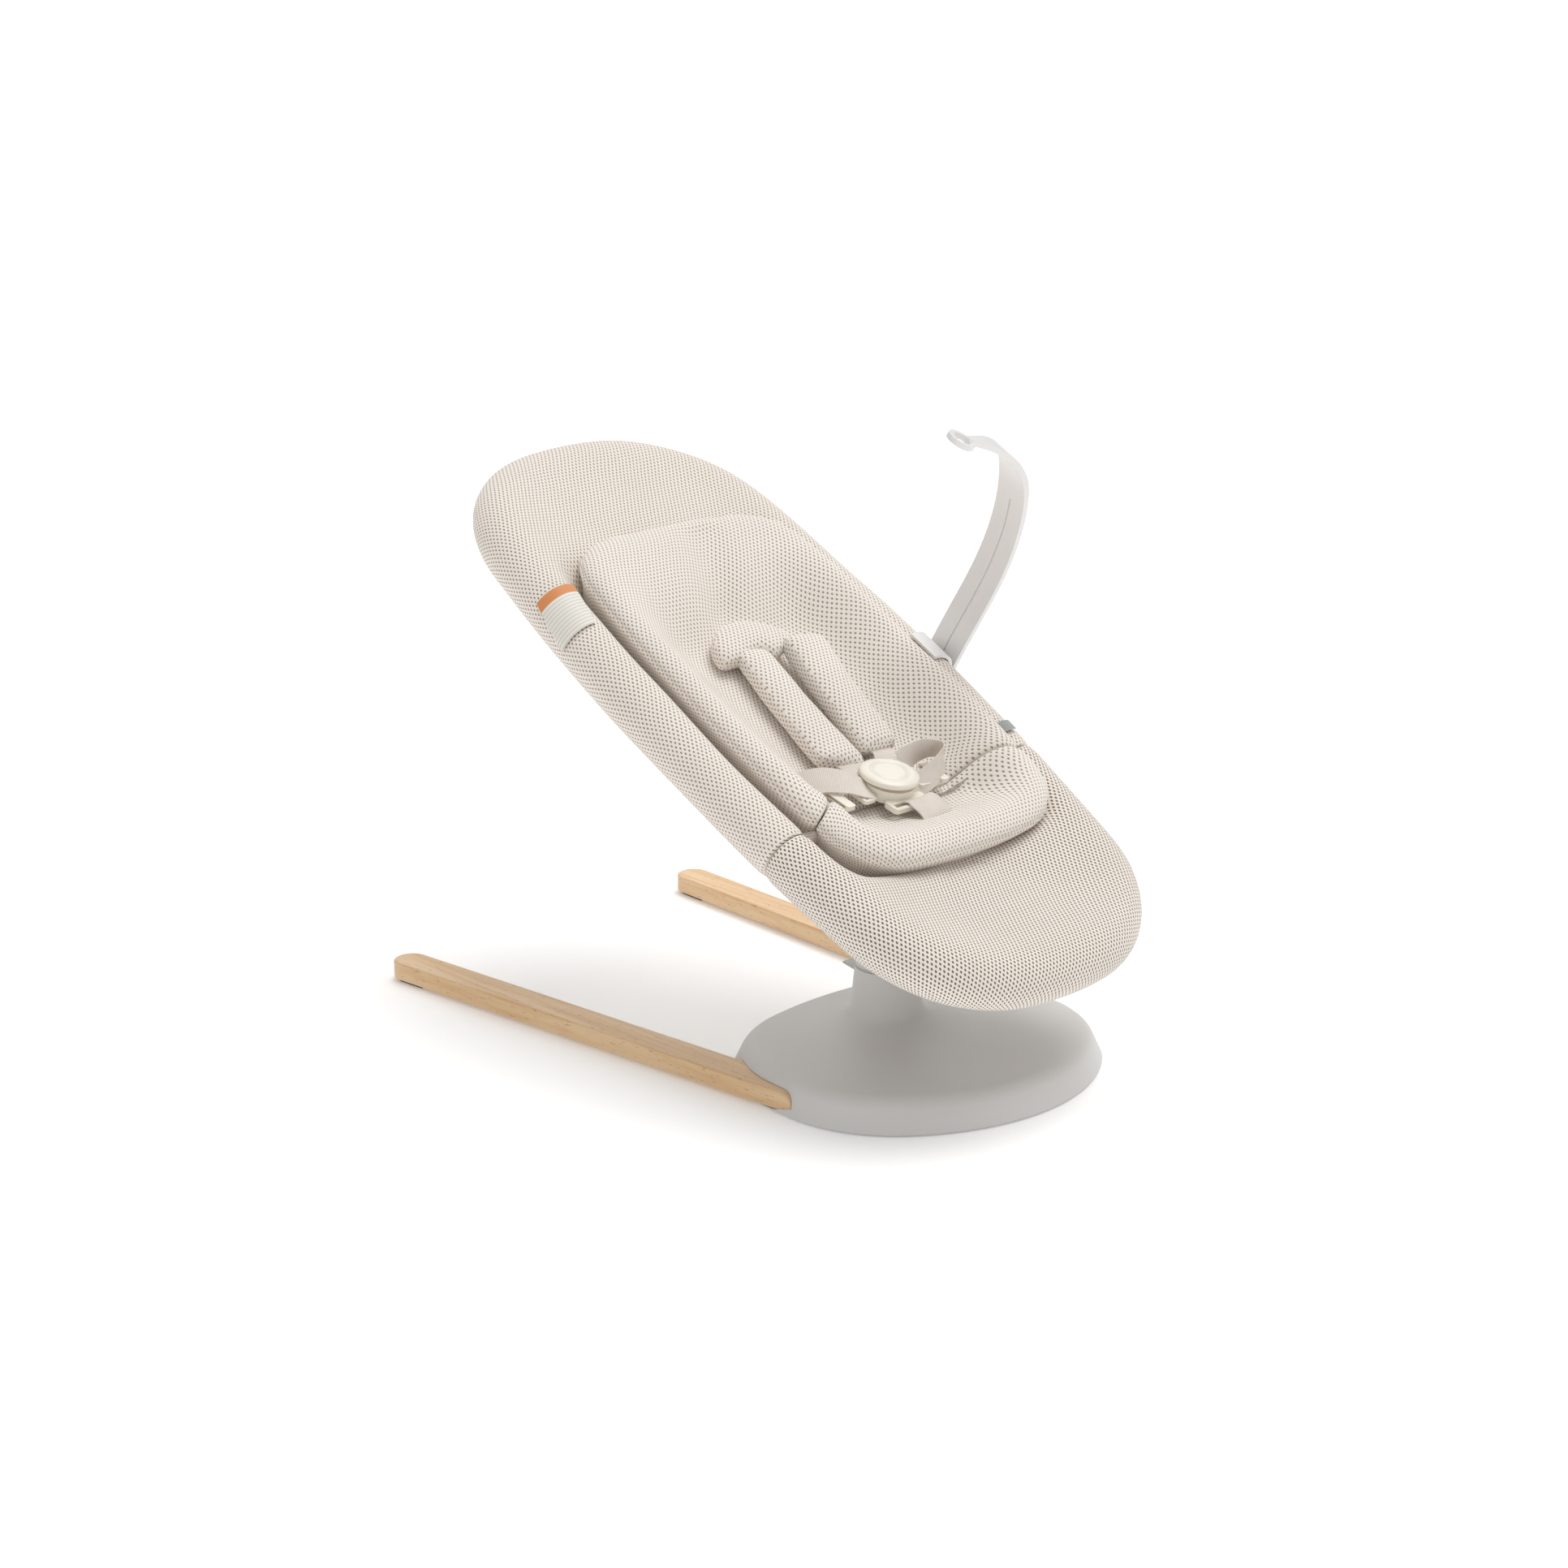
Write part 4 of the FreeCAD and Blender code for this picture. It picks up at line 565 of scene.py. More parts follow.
class Shell:
    """A skin drawn as one ring after another, each extruded from the last."""

    def __init__(self) -> None:
        """Start with no rings."""
        self.bm = bmesh.new()
        self.uv = self.bm.loops.layers.uv.new(CLOTH_UV)
        self.rings: list[list[bmesh.types.BMVert]] = []
        self.maps: dict[bmesh.types.BMVert, tuple[float, float]] = {}

    def ring(self, points: Sequence[Vector], cloth: Sequence[tuple[float, float]] | None = None) -> None:
        """Add a closed ring of points.

        Args:
            points: the ring, always with the same number of points.
            cloth: where each point lies on the flat cloth, in metres.
        """
        if not self.rings:
            made = bmesh.ops.create_circle(self.bm, segments=len(points), radius=1.0)["verts"]
        else:
            last = self.rings[-1]
            edges = [self.bm.edges.get((last[i - 1], last[i])) for i in range(len(last))]
            grown = bmesh.ops.extrude_edge_only(self.bm, edges=edges)["geom"]
            fresh = {g for g in grown if isinstance(g, bmesh.types.BMVert)}
            made = [next(e.other_vert(v) for e in v.link_edges if e.other_vert(v) in fresh) for v in last]
        for vert, point in zip(made, points):
            vert.co = point
        for vert, spot in zip(made, cloth or [(p.x * MM, p.y * MM) for p in points]):
            self.maps[vert] = spot
        self.rings.append(made)

    def lay_cloth(self) -> None:
        """Write the cloth map to every face corner."""
        for face in self.bm.faces:
            for loop in face.loops:
                loop[self.uv].uv = self.maps.get(loop.vert, (0.0, 0.0))

    def close(self, join: bool = False) -> bmesh.types.BMesh:
        """Lay the cloth map, close the skin and turn its faces outwards.

        Args:
            join: bridge the last ring to the first; otherwise both ends are merged or filled.

        Returns:
            The closed bmesh.
        """
        if join:
            ends = [self.bm.edges.get((r[i - 1], r[i])) for r in (self.rings[0], self.rings[-1])
                    for i in range(len(r))]
            bmesh.ops.bridge_loops(self.bm, edges=ends)
        self.lay_cloth()
        bmesh.ops.remove_doubles(self.bm, verts=self.bm.verts, dist=0.01)
        bmesh.ops.dissolve_degenerate(self.bm, edges=self.bm.edges, dist=0.001)
        bmesh.ops.holes_fill(self.bm, edges=[e for e in self.bm.edges if e.is_boundary], sides=0)
        bmesh.ops.recalc_face_normals(self.bm, faces=self.bm.faces)
        return self.bm


def split_at(bm: bmesh.types.BMesh, point: Vector, normal: Vector, layers: Sequence[float] = (),
             strips: Sequence[float] = ()) -> None:
    """Cut away what lies on the normal's side of a plane and close the cut.

    Args:
        bm: the mesh, changed in place.
        point: a point of the plane.
        normal: towards what is cut away.
        layers: extra rows of edges this far inside the cut.
        strips: where, across the seat, the closing face is cut into upright strips.
    """
    unit = normal.normalized()
    for depth in layers:
        geom = [*bm.verts, *bm.edges, *bm.faces]
        bmesh.ops.bisect_plane(bm, geom=geom, plane_co=point - unit * depth, plane_no=unit)
    geom = [*bm.verts, *bm.edges, *bm.faces]
    bmesh.ops.bisect_plane(bm, geom=geom, plane_co=point, plane_no=unit, clear_outer=True)
    ends = bmesh.ops.holes_fill(bm, edges=[e for e in bm.edges if e.is_boundary], sides=0)["faces"]
    uv = bm.loops.layers.uv.get(CLOTH_UV)
    for face in ends:
        for loop in face.loops:
            loop[uv].uv = (loop.vert.co.x * MM, loop.vert.co.z * MM)
    for x in strips:
        geom = {g for face in ends for g in (face, *face.edges, *face.verts)}
        cut = bmesh.ops.bisect_plane(bm, geom=list(geom), plane_co=(x, 0.0, 0.0), plane_no=(1.0, 0.0, 0.0))
        ends = [g for g in cut["geom"] if isinstance(g, bmesh.types.BMFace)]


def ease_edge(bm: bmesh.types.BMesh, point: Vector, normal: Vector, width: float, depth: float) -> None:
    """Draw the skin in towards a sewn edge, so that a soft groove shows there."""
    unit = normal.normalized()
    bm.normal_update()
    moves = []
    for vert in bm.verts:
        gap = abs((vert.co - point).dot(unit))
        if gap < width:
            side = vert.normal - unit * vert.normal.dot(unit)
            if side.length > 0.2:
                moves.append((vert, side.normalized() * -depth * (1.0 - gap / width) ** 2))
    for vert, move in moves:
        vert.co += move


def soften(bm: bmesh.types.BMesh, size: float, amount: float, seed: float,
           share: Callable[[Vector], float] | None = None) -> None:
    """Push a skin in and out by slow noise, as foam under cloth does.

    Args:
        bm: the mesh, in millimetres.
        size: the noise's wavelength.
        amount: the largest push.
        seed: moves the noise.
        share: how much of it a point takes, 0 to 1.
    """
    bm.normal_update()
    shift = Vector((seed * 17.3, seed * 5.1, seed * 9.7))
    for vert in bm.verts:
        push = noise.noise(vert.co / size + shift) * amount
        vert.co += vert.normal * push * (share(vert.co) if share else 1.0)


def box_cloth(bm: bmesh.types.BMesh) -> None:
    """Lay the cloth map from the side each face looks to, for a mesh in the seat's frame."""
    uv = bm.loops.layers.uv.get(CLOTH_UV) or bm.loops.layers.uv.new(CLOTH_UV)
    bm.normal_update()
    for face in bm.faces:
        n = face.normal
        for loop in face.loops:
            x, s, h = loop.vert.co * MM
            if abs(n.z) > 0.5:
                loop[uv].uv = (x, s)
            elif abs(n.x) > abs(n.y):
                loop[uv].uv = (h, s)
            else:
                loop[uv].uv = (x, h)


def fill_with_air(piece: bpy.types.Object, pressure: float, cap: float,
                  held: Callable[[Vector], float]) -> None:
    """Blow a sewn skin up like a stuffed pad, with Cloth, and keep the result.

    Args:
        piece: a closed skin, in the row frame.
        pressure: the filling's push.
        cap: the furthest a point may go, in metres.
        held: how firmly a point stays put, 0 to 1.
    """
    rest = [v.co.copy() for v in piece.data.vertices]
    group = piece.vertex_groups.new(name="held")
    for i, point in enumerate(rest):
        group.add([i], held(point), "REPLACE")
    cloth = piece.modifiers.new("filling", "CLOTH")
    cloth.settings.quality = 4
    cloth.settings.mass = 0.3
    cloth.settings.use_pressure = True
    cloth.settings.uniform_pressure_force = pressure
    cloth.settings.effector_weights.gravity = 0.0
    cloth.settings.vertex_group_mass = group.name
    cloth.settings.tension_stiffness = 18.0
    cloth.settings.compression_stiffness = 14.0
    cloth.settings.bending_stiffness = 0.8
    cloth.point_cache.frame_start = 1
    cloth.point_cache.frame_end = 20
    scene = bpy.context.scene
    for frame in range(1, 21):
        scene.frame_set(frame)
    shaped = piece.evaluated_get(bpy.context.evaluated_depsgraph_get()).data
    moved = [v.co.copy() for v in shaped.vertices]
    piece.modifiers.remove(cloth)
    piece.vertex_groups.remove(group)
    for vert, start, end in zip(piece.data.vertices, rest, moved):
        step = end - start
        vert.co = start + step * min(1.0, cap / max(step.length, 1e-9))
    piece.data.update()
    scene.frame_set(1)


def smooth_piece(piece: bpy.types.Object, levels: int = 1) -> None:
    """Shade a piece smooth and add a subdivision."""
    for face in piece.data.polygons:
        face.use_smooth = True
    if levels:
        mod = piece.modifiers.new("smooth", "SUBSURF")
        mod.levels = levels
        mod.render_levels = levels


def keep(piece: bpy.types.Object, body: Body, slot: str, *nodes: str) -> bpy.types.Object:
    """Attach a new piece to what it rides on, hide the nodes it stands for and log it."""
    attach(piece, body.value)
    if nodes:
        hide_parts(*nodes)
    LOG.info("%s rides on %s", piece.name, body.value)
    return piece


# ---------------------------------------------------------------- fabric seat
@dataclass
class SeatCover:
    """Knitted cover pulled over the padded rim and the sling, sewn from two panels."""

    finishes: Finishes
    outline: Oval = Oval(167.0, 370.0, 370.0, (2200.0, 120.0, 480.0))
    step: float = 14.0
    spine: float = 225.0
    seam_point: Vector = Vector((0.0, -152.5, 0.0))
    seam_normal: Vector = Vector((-0.078, 1.0, 0.0))
    cut_rows: tuple = (1.5, 4.0, 8.0, 14.0)
    groove_width: float = 9.0
    groove_depth: float = 2.2
    # (inset from the rim line, height beside the insert, at the head, at the foot), middle to rim
    inner: tuple = ((119.0, -32.0, 18.0, 7.0), (101.0, -30.0, 18.0, 8.0), (80.0, -27.0, 18.6, 11.0),
                    (58.0, -22.0, 20.0, 15.5), (44.0, -15.0, 21.4, 18.5), (34.0, -6.0, 22.8, 21.0),
                    (26.0, 5.0, 24.0, 23.0), (19.0, 16.5, 25.1, 24.6), (10.0, 24.6, 26.4, 26.2),
                    (0.0, 27.0, 27.0, 27.0))
    # (inset, height): over the rim and under
    outer: tuple = ((-10.5, 24.9), (-19.1, 19.1), (-25.0, 10.2), (-27.0, 0.0), (-25.6, -9.5), (-20.5, -18.5),
                    (-12.0, -25.5), (0.0, -30.5), (16.0, -34.5), (40.0, -38.0), (70.0, -40.5), (100.0, -42.0),
                    (119.0, -42.5))

    def lift(self, heights: Sequence[float], s: float) -> float:
        """Blend the height beside the insert into the taut ends.

        Args:
            heights: the height beside the insert, at the head and at the foot.
            s: along the seat.

        Returns:
            The skin's height there.
        """
        side, head, foot = heights
        if s > 0.0:
            return side + (head - side) * smooth_step(190.0, 238.0, s)
        return side + (foot - side) * smooth_step(-192.0, -236.0, s)

    def skin(self) -> bmesh.types.BMesh:
        """The whole cover as one closed skin in the seat's frame.

        Returns:
            A bmesh with its cloth map, in millimetres.
        """
        places = self.outline.stations(self.step)
        shell = Shell()
        profile = [*self.inner, *((inset, h, h, h) for inset, h in self.outer)]
        crown = len(self.inner) - 1
        runs = [0.0] * len(profile)
        for i in range(crown + 1, len(profile)):
            runs[i] = runs[i - 1] + math.dist(profile[i][:2], profile[i - 1][:2])
        for i in range(crown - 1, -1, -1):
            runs[i] = runs[i + 1] - (profile[i][0] - profile[i + 1][0])
        self.spine_ring(shell, places, self.inner[0][1:])
        for (inset, *heights), run in zip(profile, runs):
            points = [p.at(inset, self.lift(heights, p.at(inset).y)) for p in places]
            shell.ring(points, [p.cloth(run) for p in places])
        low = self.outer[-1][1] - 0.5
        self.spine_ring(shell, places, (low, low, low))
        bm = shell.close()
        soften(bm, 95.0, 1.6, 1.0)
        return bm

    def spine_ring(self, shell: Shell, places: Sequence[Station], heights: Sequence[float]) -> None:
        """Draw a ring that lies on the seat's middle line, which closes the sling."""
        spots = [max(-self.spine, min(self.spine, p.at(0.0).y)) for p in places]
        shell.ring([Vector((0.0, s, self.lift(heights, s))) for s in spots])

    def build(self) -> None:
        """Make the main panel and the foot panel."""
        plans = (("seat_cover_main_panel", -1.0, self.finishes.mesh, "seat_cover_back"),
                 ("seat_cover_foot_panel", 1.0, self.finishes.foot_mesh, "seat_cover_foot"))
        for name, way, material, node in plans:
            bm = self.skin()
            split_at(bm, self.seam_point, self.seam_normal * way, self.cut_rows)
            ease_edge(bm, self.seam_point, self.seam_normal, self.groove_width, self.groove_depth)
            bm.transform(SEAT)
            piece = new_object(bm, name, material)
            smooth_piece(piece)
            keep(piece, Body.SEAT, "air_mesh", node)


@dataclass
class Insert:
    """Newborn insert: a stuffed back pad with raised sides and a separate front bolster."""

    finishes: Finishes
    outline: Oval = Oval(149.0, 243.0, 243.0, (1700.0, 68.0, 620.0), 5.5)
    shift: float = 10.5
    step: float = 9.0
    crest: float = 35.0
    floor: float = -6.0
    split_s: float = -146.0
    # (inset, height) up the outer side, with the sewn edge near its top
    wall: tuple = ((24.0, -36.0), (16.0, -24.0), (12.0, -10.0), (9.5, 0.0), (6.5, 8.0), (3.0, 14.0),
                   (0.4, 18.5), (0.2, 21.5), (2.6, 23.2), (1.6, 25.2), (4.0, 29.2), (9.0, 33.0), (16.0, 34.8))
    insets: tuple = (22.0, 28.0, 34.0, 40.0, 46.0, 52.0, 58.0)
    steps_to_middle: int = 6
    half_split: float = 0.6
    cut_rows: tuple = (2.5, 6.0, 12.0, 20.0)
    strip_width: float = 12.0
    strips_aside: int = 10
    groove_width: float = 11.0
    puff_cap: float = 0.004

    def height(self, inset: float, x: float, s: float) -> float:
        """The pad's top over a point.

        Args:
            inset: how far inside the outline it lies.
            x: across the seat.
            s: along the seat.

        Returns:
            The height over the rim's plane, in millimetres.
        """
        front = smooth_step(-118.0, -160.0, s) if s < -118.0 else 0.0
        reach = 78.0 + 2.0 * front
        head = smooth_step(88.0, 190.0, s)
        line = 16.0 + 0.3 * (s - 140.0)
        valley = 15.0 * math.exp(-((x - line) / 26.0) ** 2) * smooth_step(95.0, 140.0, s)
        valley *= 1.0 - 0.7 * smooth_step(208.0, 244.0, s)
        floor = self.floor + 34.0 * head - valley
        fall = smooth_step(12.0 + 8.0 * front, reach, inset)
        crest = self.crest + 1.5 * front - 0.6 * valley + self.rise(x, s)
        return crest * (1.0 - fall) + floor * fall

    def rise(self, x: float, s: float) -> float:
        """How much higher the crest stands at the right, and how much lower at the head."""
        right = 5.0 * smooth_step(60.0, 140.0, x) * (1.0 - 0.8 * math.exp(-((s - 8.0) / 45.0) ** 2))
        return right - 3.5 * smooth_step(205.0, 240.0, s)

    def bend_seam(self, bm: bmesh.types.BMesh) -> None:
        """Bow the seam between the back pad and the bolster, outer ends towards the foot."""
        for vert in bm.verts:
            near = 1.0 - smooth_step(6.0, 55.0, abs(vert.co.y - self.split_s))
            out = smooth_step(88.0, 145.0, abs(vert.co.x - self.shift))
            bow = 27.0 if vert.co.x < self.shift else 18.0
            vert.co.y += near * (13.0 - bow * out)

    def skin(self) -> bmesh.types.BMesh:
        """The whole insert as one closed skin in the seat's frame.

        Returns:
            A bmesh with its cloth map, in millimetres.
        """
        places = [replace(p, cx=p.cx + self.shift) for p in self.outline.stations(self.step)]
        shell = Shell()
        shell.ring([p.at(60.0, -40.0) for p in places])
        runs = [-self.wall[-1][0]]
        for here, there in zip(self.wall[-2::-1], self.wall[:0:-1]):
            runs.append(runs[-1] + math.dist(here, there))
        top = self.wall[-1][1]
        for (inset, height), run in zip(self.wall, reversed(runs)):
            points = []
            for place in places:
                spot = place.at(inset)
                share = smooth_step(0.0, 1.0, max(0.0, height) / top)
                points.append(Vector((spot.x, spot.y, height + share * self.rise(spot.x, spot.y))))
            shell.ring(points, [p.cloth(run) for p in places])
        for inset in self.insets:
            spots = [p.at(inset) for p in places]
            shell.ring([Vector((v.x, v.y, self.height(inset, v.x, v.y))) for v in spots])
        low, high = -236.0 + 146.0, 245.0 - 146.0
        last = self.insets[-1]
        for i in range(1, self.steps_to_middle + 1):
            share = i / self.steps_to_middle
            points = []
            for place in places:
                edge = place.at(last)
                s = edge.y + (max(low, min(high, edge.y)) - edge.y) * share
                x = edge.x + (self.shift - edge.x) * share
                points.append(Vector((x, s, self.height(last + 88.0 * share, x, s))))
            shell.ring(points)
        bm = shell.close()
        soften(bm, 60.0, 1.6, 3.0, lambda p: smooth_step(12.0, 32.0, p.z))
        return bm

    def build(self) -> None:
        """Make the back pad and the front bolster, blown up like stuffed cloth."""
        plans = (("insert_back_cushion", -1.0, "insert_back_pad", 2.0, 4.6),
                 ("insert_front_roll", 1.0, "insert_front_bolster", 5.0, 2.8))
        back = SEAT.inverted()

        def held(point: Vector) -> float:
            local = back @ point
            return 1.0 if local.z < 16.0 else 0.0

        aside = range(-self.strips_aside, self.strips_aside + 1)
        strips = [self.shift + self.strip_width * k for k in aside]
        for name, way, node, air, groove in plans:
            bm = self.skin()
            point = Vector((0.0, self.split_s - way * self.half_split, 0.0))
            normal = Vector((0.0, way, 0.0))
            split_at(bm, point, normal, self.cut_rows, strips)
            ease_edge(bm, point, normal, self.groove_width, groove)
            self.bend_seam(bm)
            bm.transform(SEAT)
            piece = new_object(bm, name, self.finishes.pad_mesh)
            fill_with_air(piece, air, self.puff_cap, held)
            smooth_piece(piece)
            keep(piece, Body.SEAT, "air_mesh", node)


# ---------------------------------------------------------------- harness
@dataclass
class Pad:
    """A stuffed strap cover: a flattened sleeve with closed, rounded ends.

    Attributes:
        line: the middle line, (x, s, h) from foot to head.
        half_width: half its width.
        half_height: half its thickness.
        slant: how much further the foot's inner corner reaches.
        boxy: how square the section is, as a power; smaller is squarer.
        taper: the share of its width that it loses towards the head.
    """

    name: str
    node: str
    line: tuple
    half_width: float
    half_height: float
    slant: float = 0.0
    boxy: float = 0.75
    taper: float = 0.0
    sections: int = 22
    points: int = 28

    def at(self, t: float) -> Vector:
        """A point of the middle line, smooth through its given points."""
        span = t * (len(self.line) - 1)
        i = min(int(span), len(self.line) - 2)
        u = span - i
        p = [Vector(self.line[max(0, min(len(self.line) - 1, i + k))]) for k in (-1, 0, 1, 2)]
        return 0.5 * ((2.0 * p[1]) + (p[2] - p[0]) * u + (2.0 * p[0] - 5.0 * p[1] + 4.0 * p[2] - p[3]) * u * u
                      + (3.0 * p[1] - p[0] - 3.0 * p[2] + p[3]) * u ** 3)

    def section(self, t: float) -> list[Vector]:
        """The sleeve's outline at a share of its length, a lens with a sewn edge at each side."""
        centre = self.at(t)
        ahead = (self.at(min(1.0, t + 0.02)) - self.at(max(0.0, t - 0.02))).normalized()
        side = ahead.cross(Vector((0.0, 0.0, 1.0))).normalized()
        up = side.cross(ahead)
        end = min(t, 1.0 - t) * 2.0 * (self.sections / 2.0)
        round_w = 1.0 - 0.22 * max(0.0, 1.0 - end / 2.2) ** 2
        round_h = 1.0 - 0.75 * max(0.0, 1.0 - end / 2.6) ** 2
        ring = []
        for i in range(self.points):
            a = 2.0 * math.pi * i / self.points
            c, s = math.cos(a), math.sin(a)
            wide = math.copysign(abs(c) ** self.boxy, c) * self.half_width * round_w * (1.0 - self.taper * t)
            high = math.copysign(abs(s) ** (self.boxy + 0.05), s) * self.half_height * round_h
            skew = -ahead * self.slant * (c + 1.0) * 0.5 * max(0.0, 1.0 - t * 3.0)
            ring.append(centre + side * wide + up * high + skew)
        return ring

    def build(self, material: bpy.types.Material, fill: float = 0.65) -> bpy.types.Object:
        """Make the pad.

        Args:
            material: its cloth.
            fill: how full it is stuffed; not used.

        Returns:
            The finished piece, riding on the seat.
        """
        shell = Shell()
        for i in range(self.sections + 1):
            shell.ring(self.section(i / self.sections))
        bm = shell.close()
        soften(bm, 30.0, 0.9, len(self.name))
        box_cloth(bm)
        bm.transform(SEAT)
        piece = new_object(bm, self.name, material)
        back = SEAT.inverted()
        fill_with_air(piece, 3.0, 0.003, lambda p: 1.0 if (back @ p).z < 2.0 else 0.0)
        smooth_piece(piece)
        keep(piece, Body.SEAT, "air_mesh", self.node)
        return piece


@dataclass
class Tape:
    """A length of harness webbing that follows a smooth line.

    Attributes:
        line: (x, s, h) of the middle of the tape.
        lean: the direction across the tape at each point of the line.
    """

    name: str
    node: str
    line: tuple
    lean: tuple
    width: float = 25.0
    thick: float = 1.4
    rows: int = 40
    across: int = 6

    def build(self, material: bpy.types.Material) -> bpy.types.Object:
        """Make the tape.

        Args:
            material: its webbing.

        Returns:
            The finished piece, riding on the seat.
        """
        guide = Pad(self.name, self.node, self.line, 1.0, 1.0)
        turns = Pad(self.name, self.node, self.lean, 1.0, 1.0)
        bm = bmesh.new()
        uv = bm.loops.layers.uv.new(CLOTH_UV)
        spots: dict[bmesh.types.BMVert, tuple[float, float]] = {}
        row: list[bmesh.types.BMVert] = []
        run = 0.0
        last = guide.at(0.0)
        for i in range(self.rows + 1):
            t = i / self.rows
            centre = guide.at(t)
            run += (centre - last).length
            last = centre
            tangent = (guide.at(min(1.0, t + 0.01)) - guide.at(max(0.0, t - 0.01))).normalized()
            side = turns.at(t)
            side = (side - tangent * side.dot(tangent)).normalized()
            if not row:
                row = [bm.verts.new((k, 0.0, 0.0)) for k in range(self.across + 1)]
                for a, b in zip(row, row[1:]):
                    bm.edges.new((a, b))
            else:
                edges = [bm.edges.get((a, b)) for a, b in zip(row, row[1:])]
                grown = bmesh.ops.extrude_edge_only(bm, edges=edges)["geom"]
                fresh = {g for g in grown if isinstance(g, bmesh.types.BMVert)}
                row = [next(e.other_vert(v) for e in v.link_edges if e.other_vert(v) in fresh) for v in row]
            for k, vert in enumerate(row):
                off = (k / self.across - 0.5) * self.width
                vert.co = centre + side * off
                spots[vert] = (off * MM, run * MM)
        for face in bm.faces:
            for loop in face.loops:
                loop[uv].uv = spots[loop.vert]
        bmesh.ops.solidify(bm, geom=bm.faces[:], thickness=self.thick)
        bmesh.ops.recalc_face_normals(bm, faces=bm.faces)
        bm.transform(SEAT)
        mark_sharp(bm, 50.0)
        piece = new_object(bm, self.name, material)
        keep(piece, Body.SEAT, "webbing", self.node)
        return piece


@dataclass
class Buckle:
    """Round harness buckle: a lower body with two mouths and a domed press cap."""

    finishes: Finishes
    s: float = -128.0
    cap_radius: float = 28.5
    cap_height: float = 15.8
    cap_top: float = 22.6
    pivot_height: float = 1.0
    tilt: float = 15.0

    def turned(self, profile: Sequence[tuple[float, float]], name: str) -> bmesh.types.BMesh:
        """Spin a (radius, height) profile round the buckle's axis.

        Args:
            profile: from the axis at the bottom to the axis at the top.
            name: what is turned, for the log.

        Returns:
            A closed bmesh in the seat's frame.
        """
        bm = bmesh.new()
        verts = [bm.verts.new((r, self.s, h)) for r, h in profile]
        edges = [bm.edges.new(pair) for pair in zip(verts, verts[1:])]
        bmesh.ops.spin(bm, geom=verts + edges, cent=(0.0, self.s, 0.0), axis=(0.0, 0.0, 1.0),
                       dvec=(0.0, 0.0, 0.0), angle=2.0 * math.pi, steps=64, use_merge=True)
        bmesh.ops.remove_doubles(bm, verts=bm.verts, dist=0.01)
        bmesh.ops.recalc_face_normals(bm, faces=bm.faces)
        LOG.info("turned %s: %d faces", name, len(bm.faces))
        return bm

    def build(self) -> None:
        """Make the press cap; the body below it keeps its own shape."""
        r, low, top = self.cap_radius, self.cap_height, self.cap_top
        profile = ((0.0, low), (r - 1.2, low), (r - 0.3, low + 0.5), (r, low + 1.5), (r - 0.2, low + 4.4),
                   (r - 1.4, top - 1.6), (r - 3.4, top - 0.4), (r - 6.0, top), (r - 10.2, top - 0.1),
                   (r - 10.8, top - 0.9), (r - 11.6, top - 0.9), (r - 12.3, top - 0.15),
                   (r - 15.0, top + 0.1), (8.0, top + 0.25), (0.0, top + 0.3))
        bm = self.turned(profile, "cap")
        middle = Vector((0.0, self.s, self.pivot_height))
        turn = Matrix.Rotation(math.radians(-self.tilt), 4, "X")
        bm.transform(Matrix.Translation(middle) @ turn @ Matrix.Translation(-middle))
        bm.transform(SEAT)
        mark_sharp(bm, 60.0)
        piece = new_object(bm, "buckle_press_cap", self.finishes.cream)
        keep(piece, Body.BUTTON, "acetal_cream", "buckle_button")


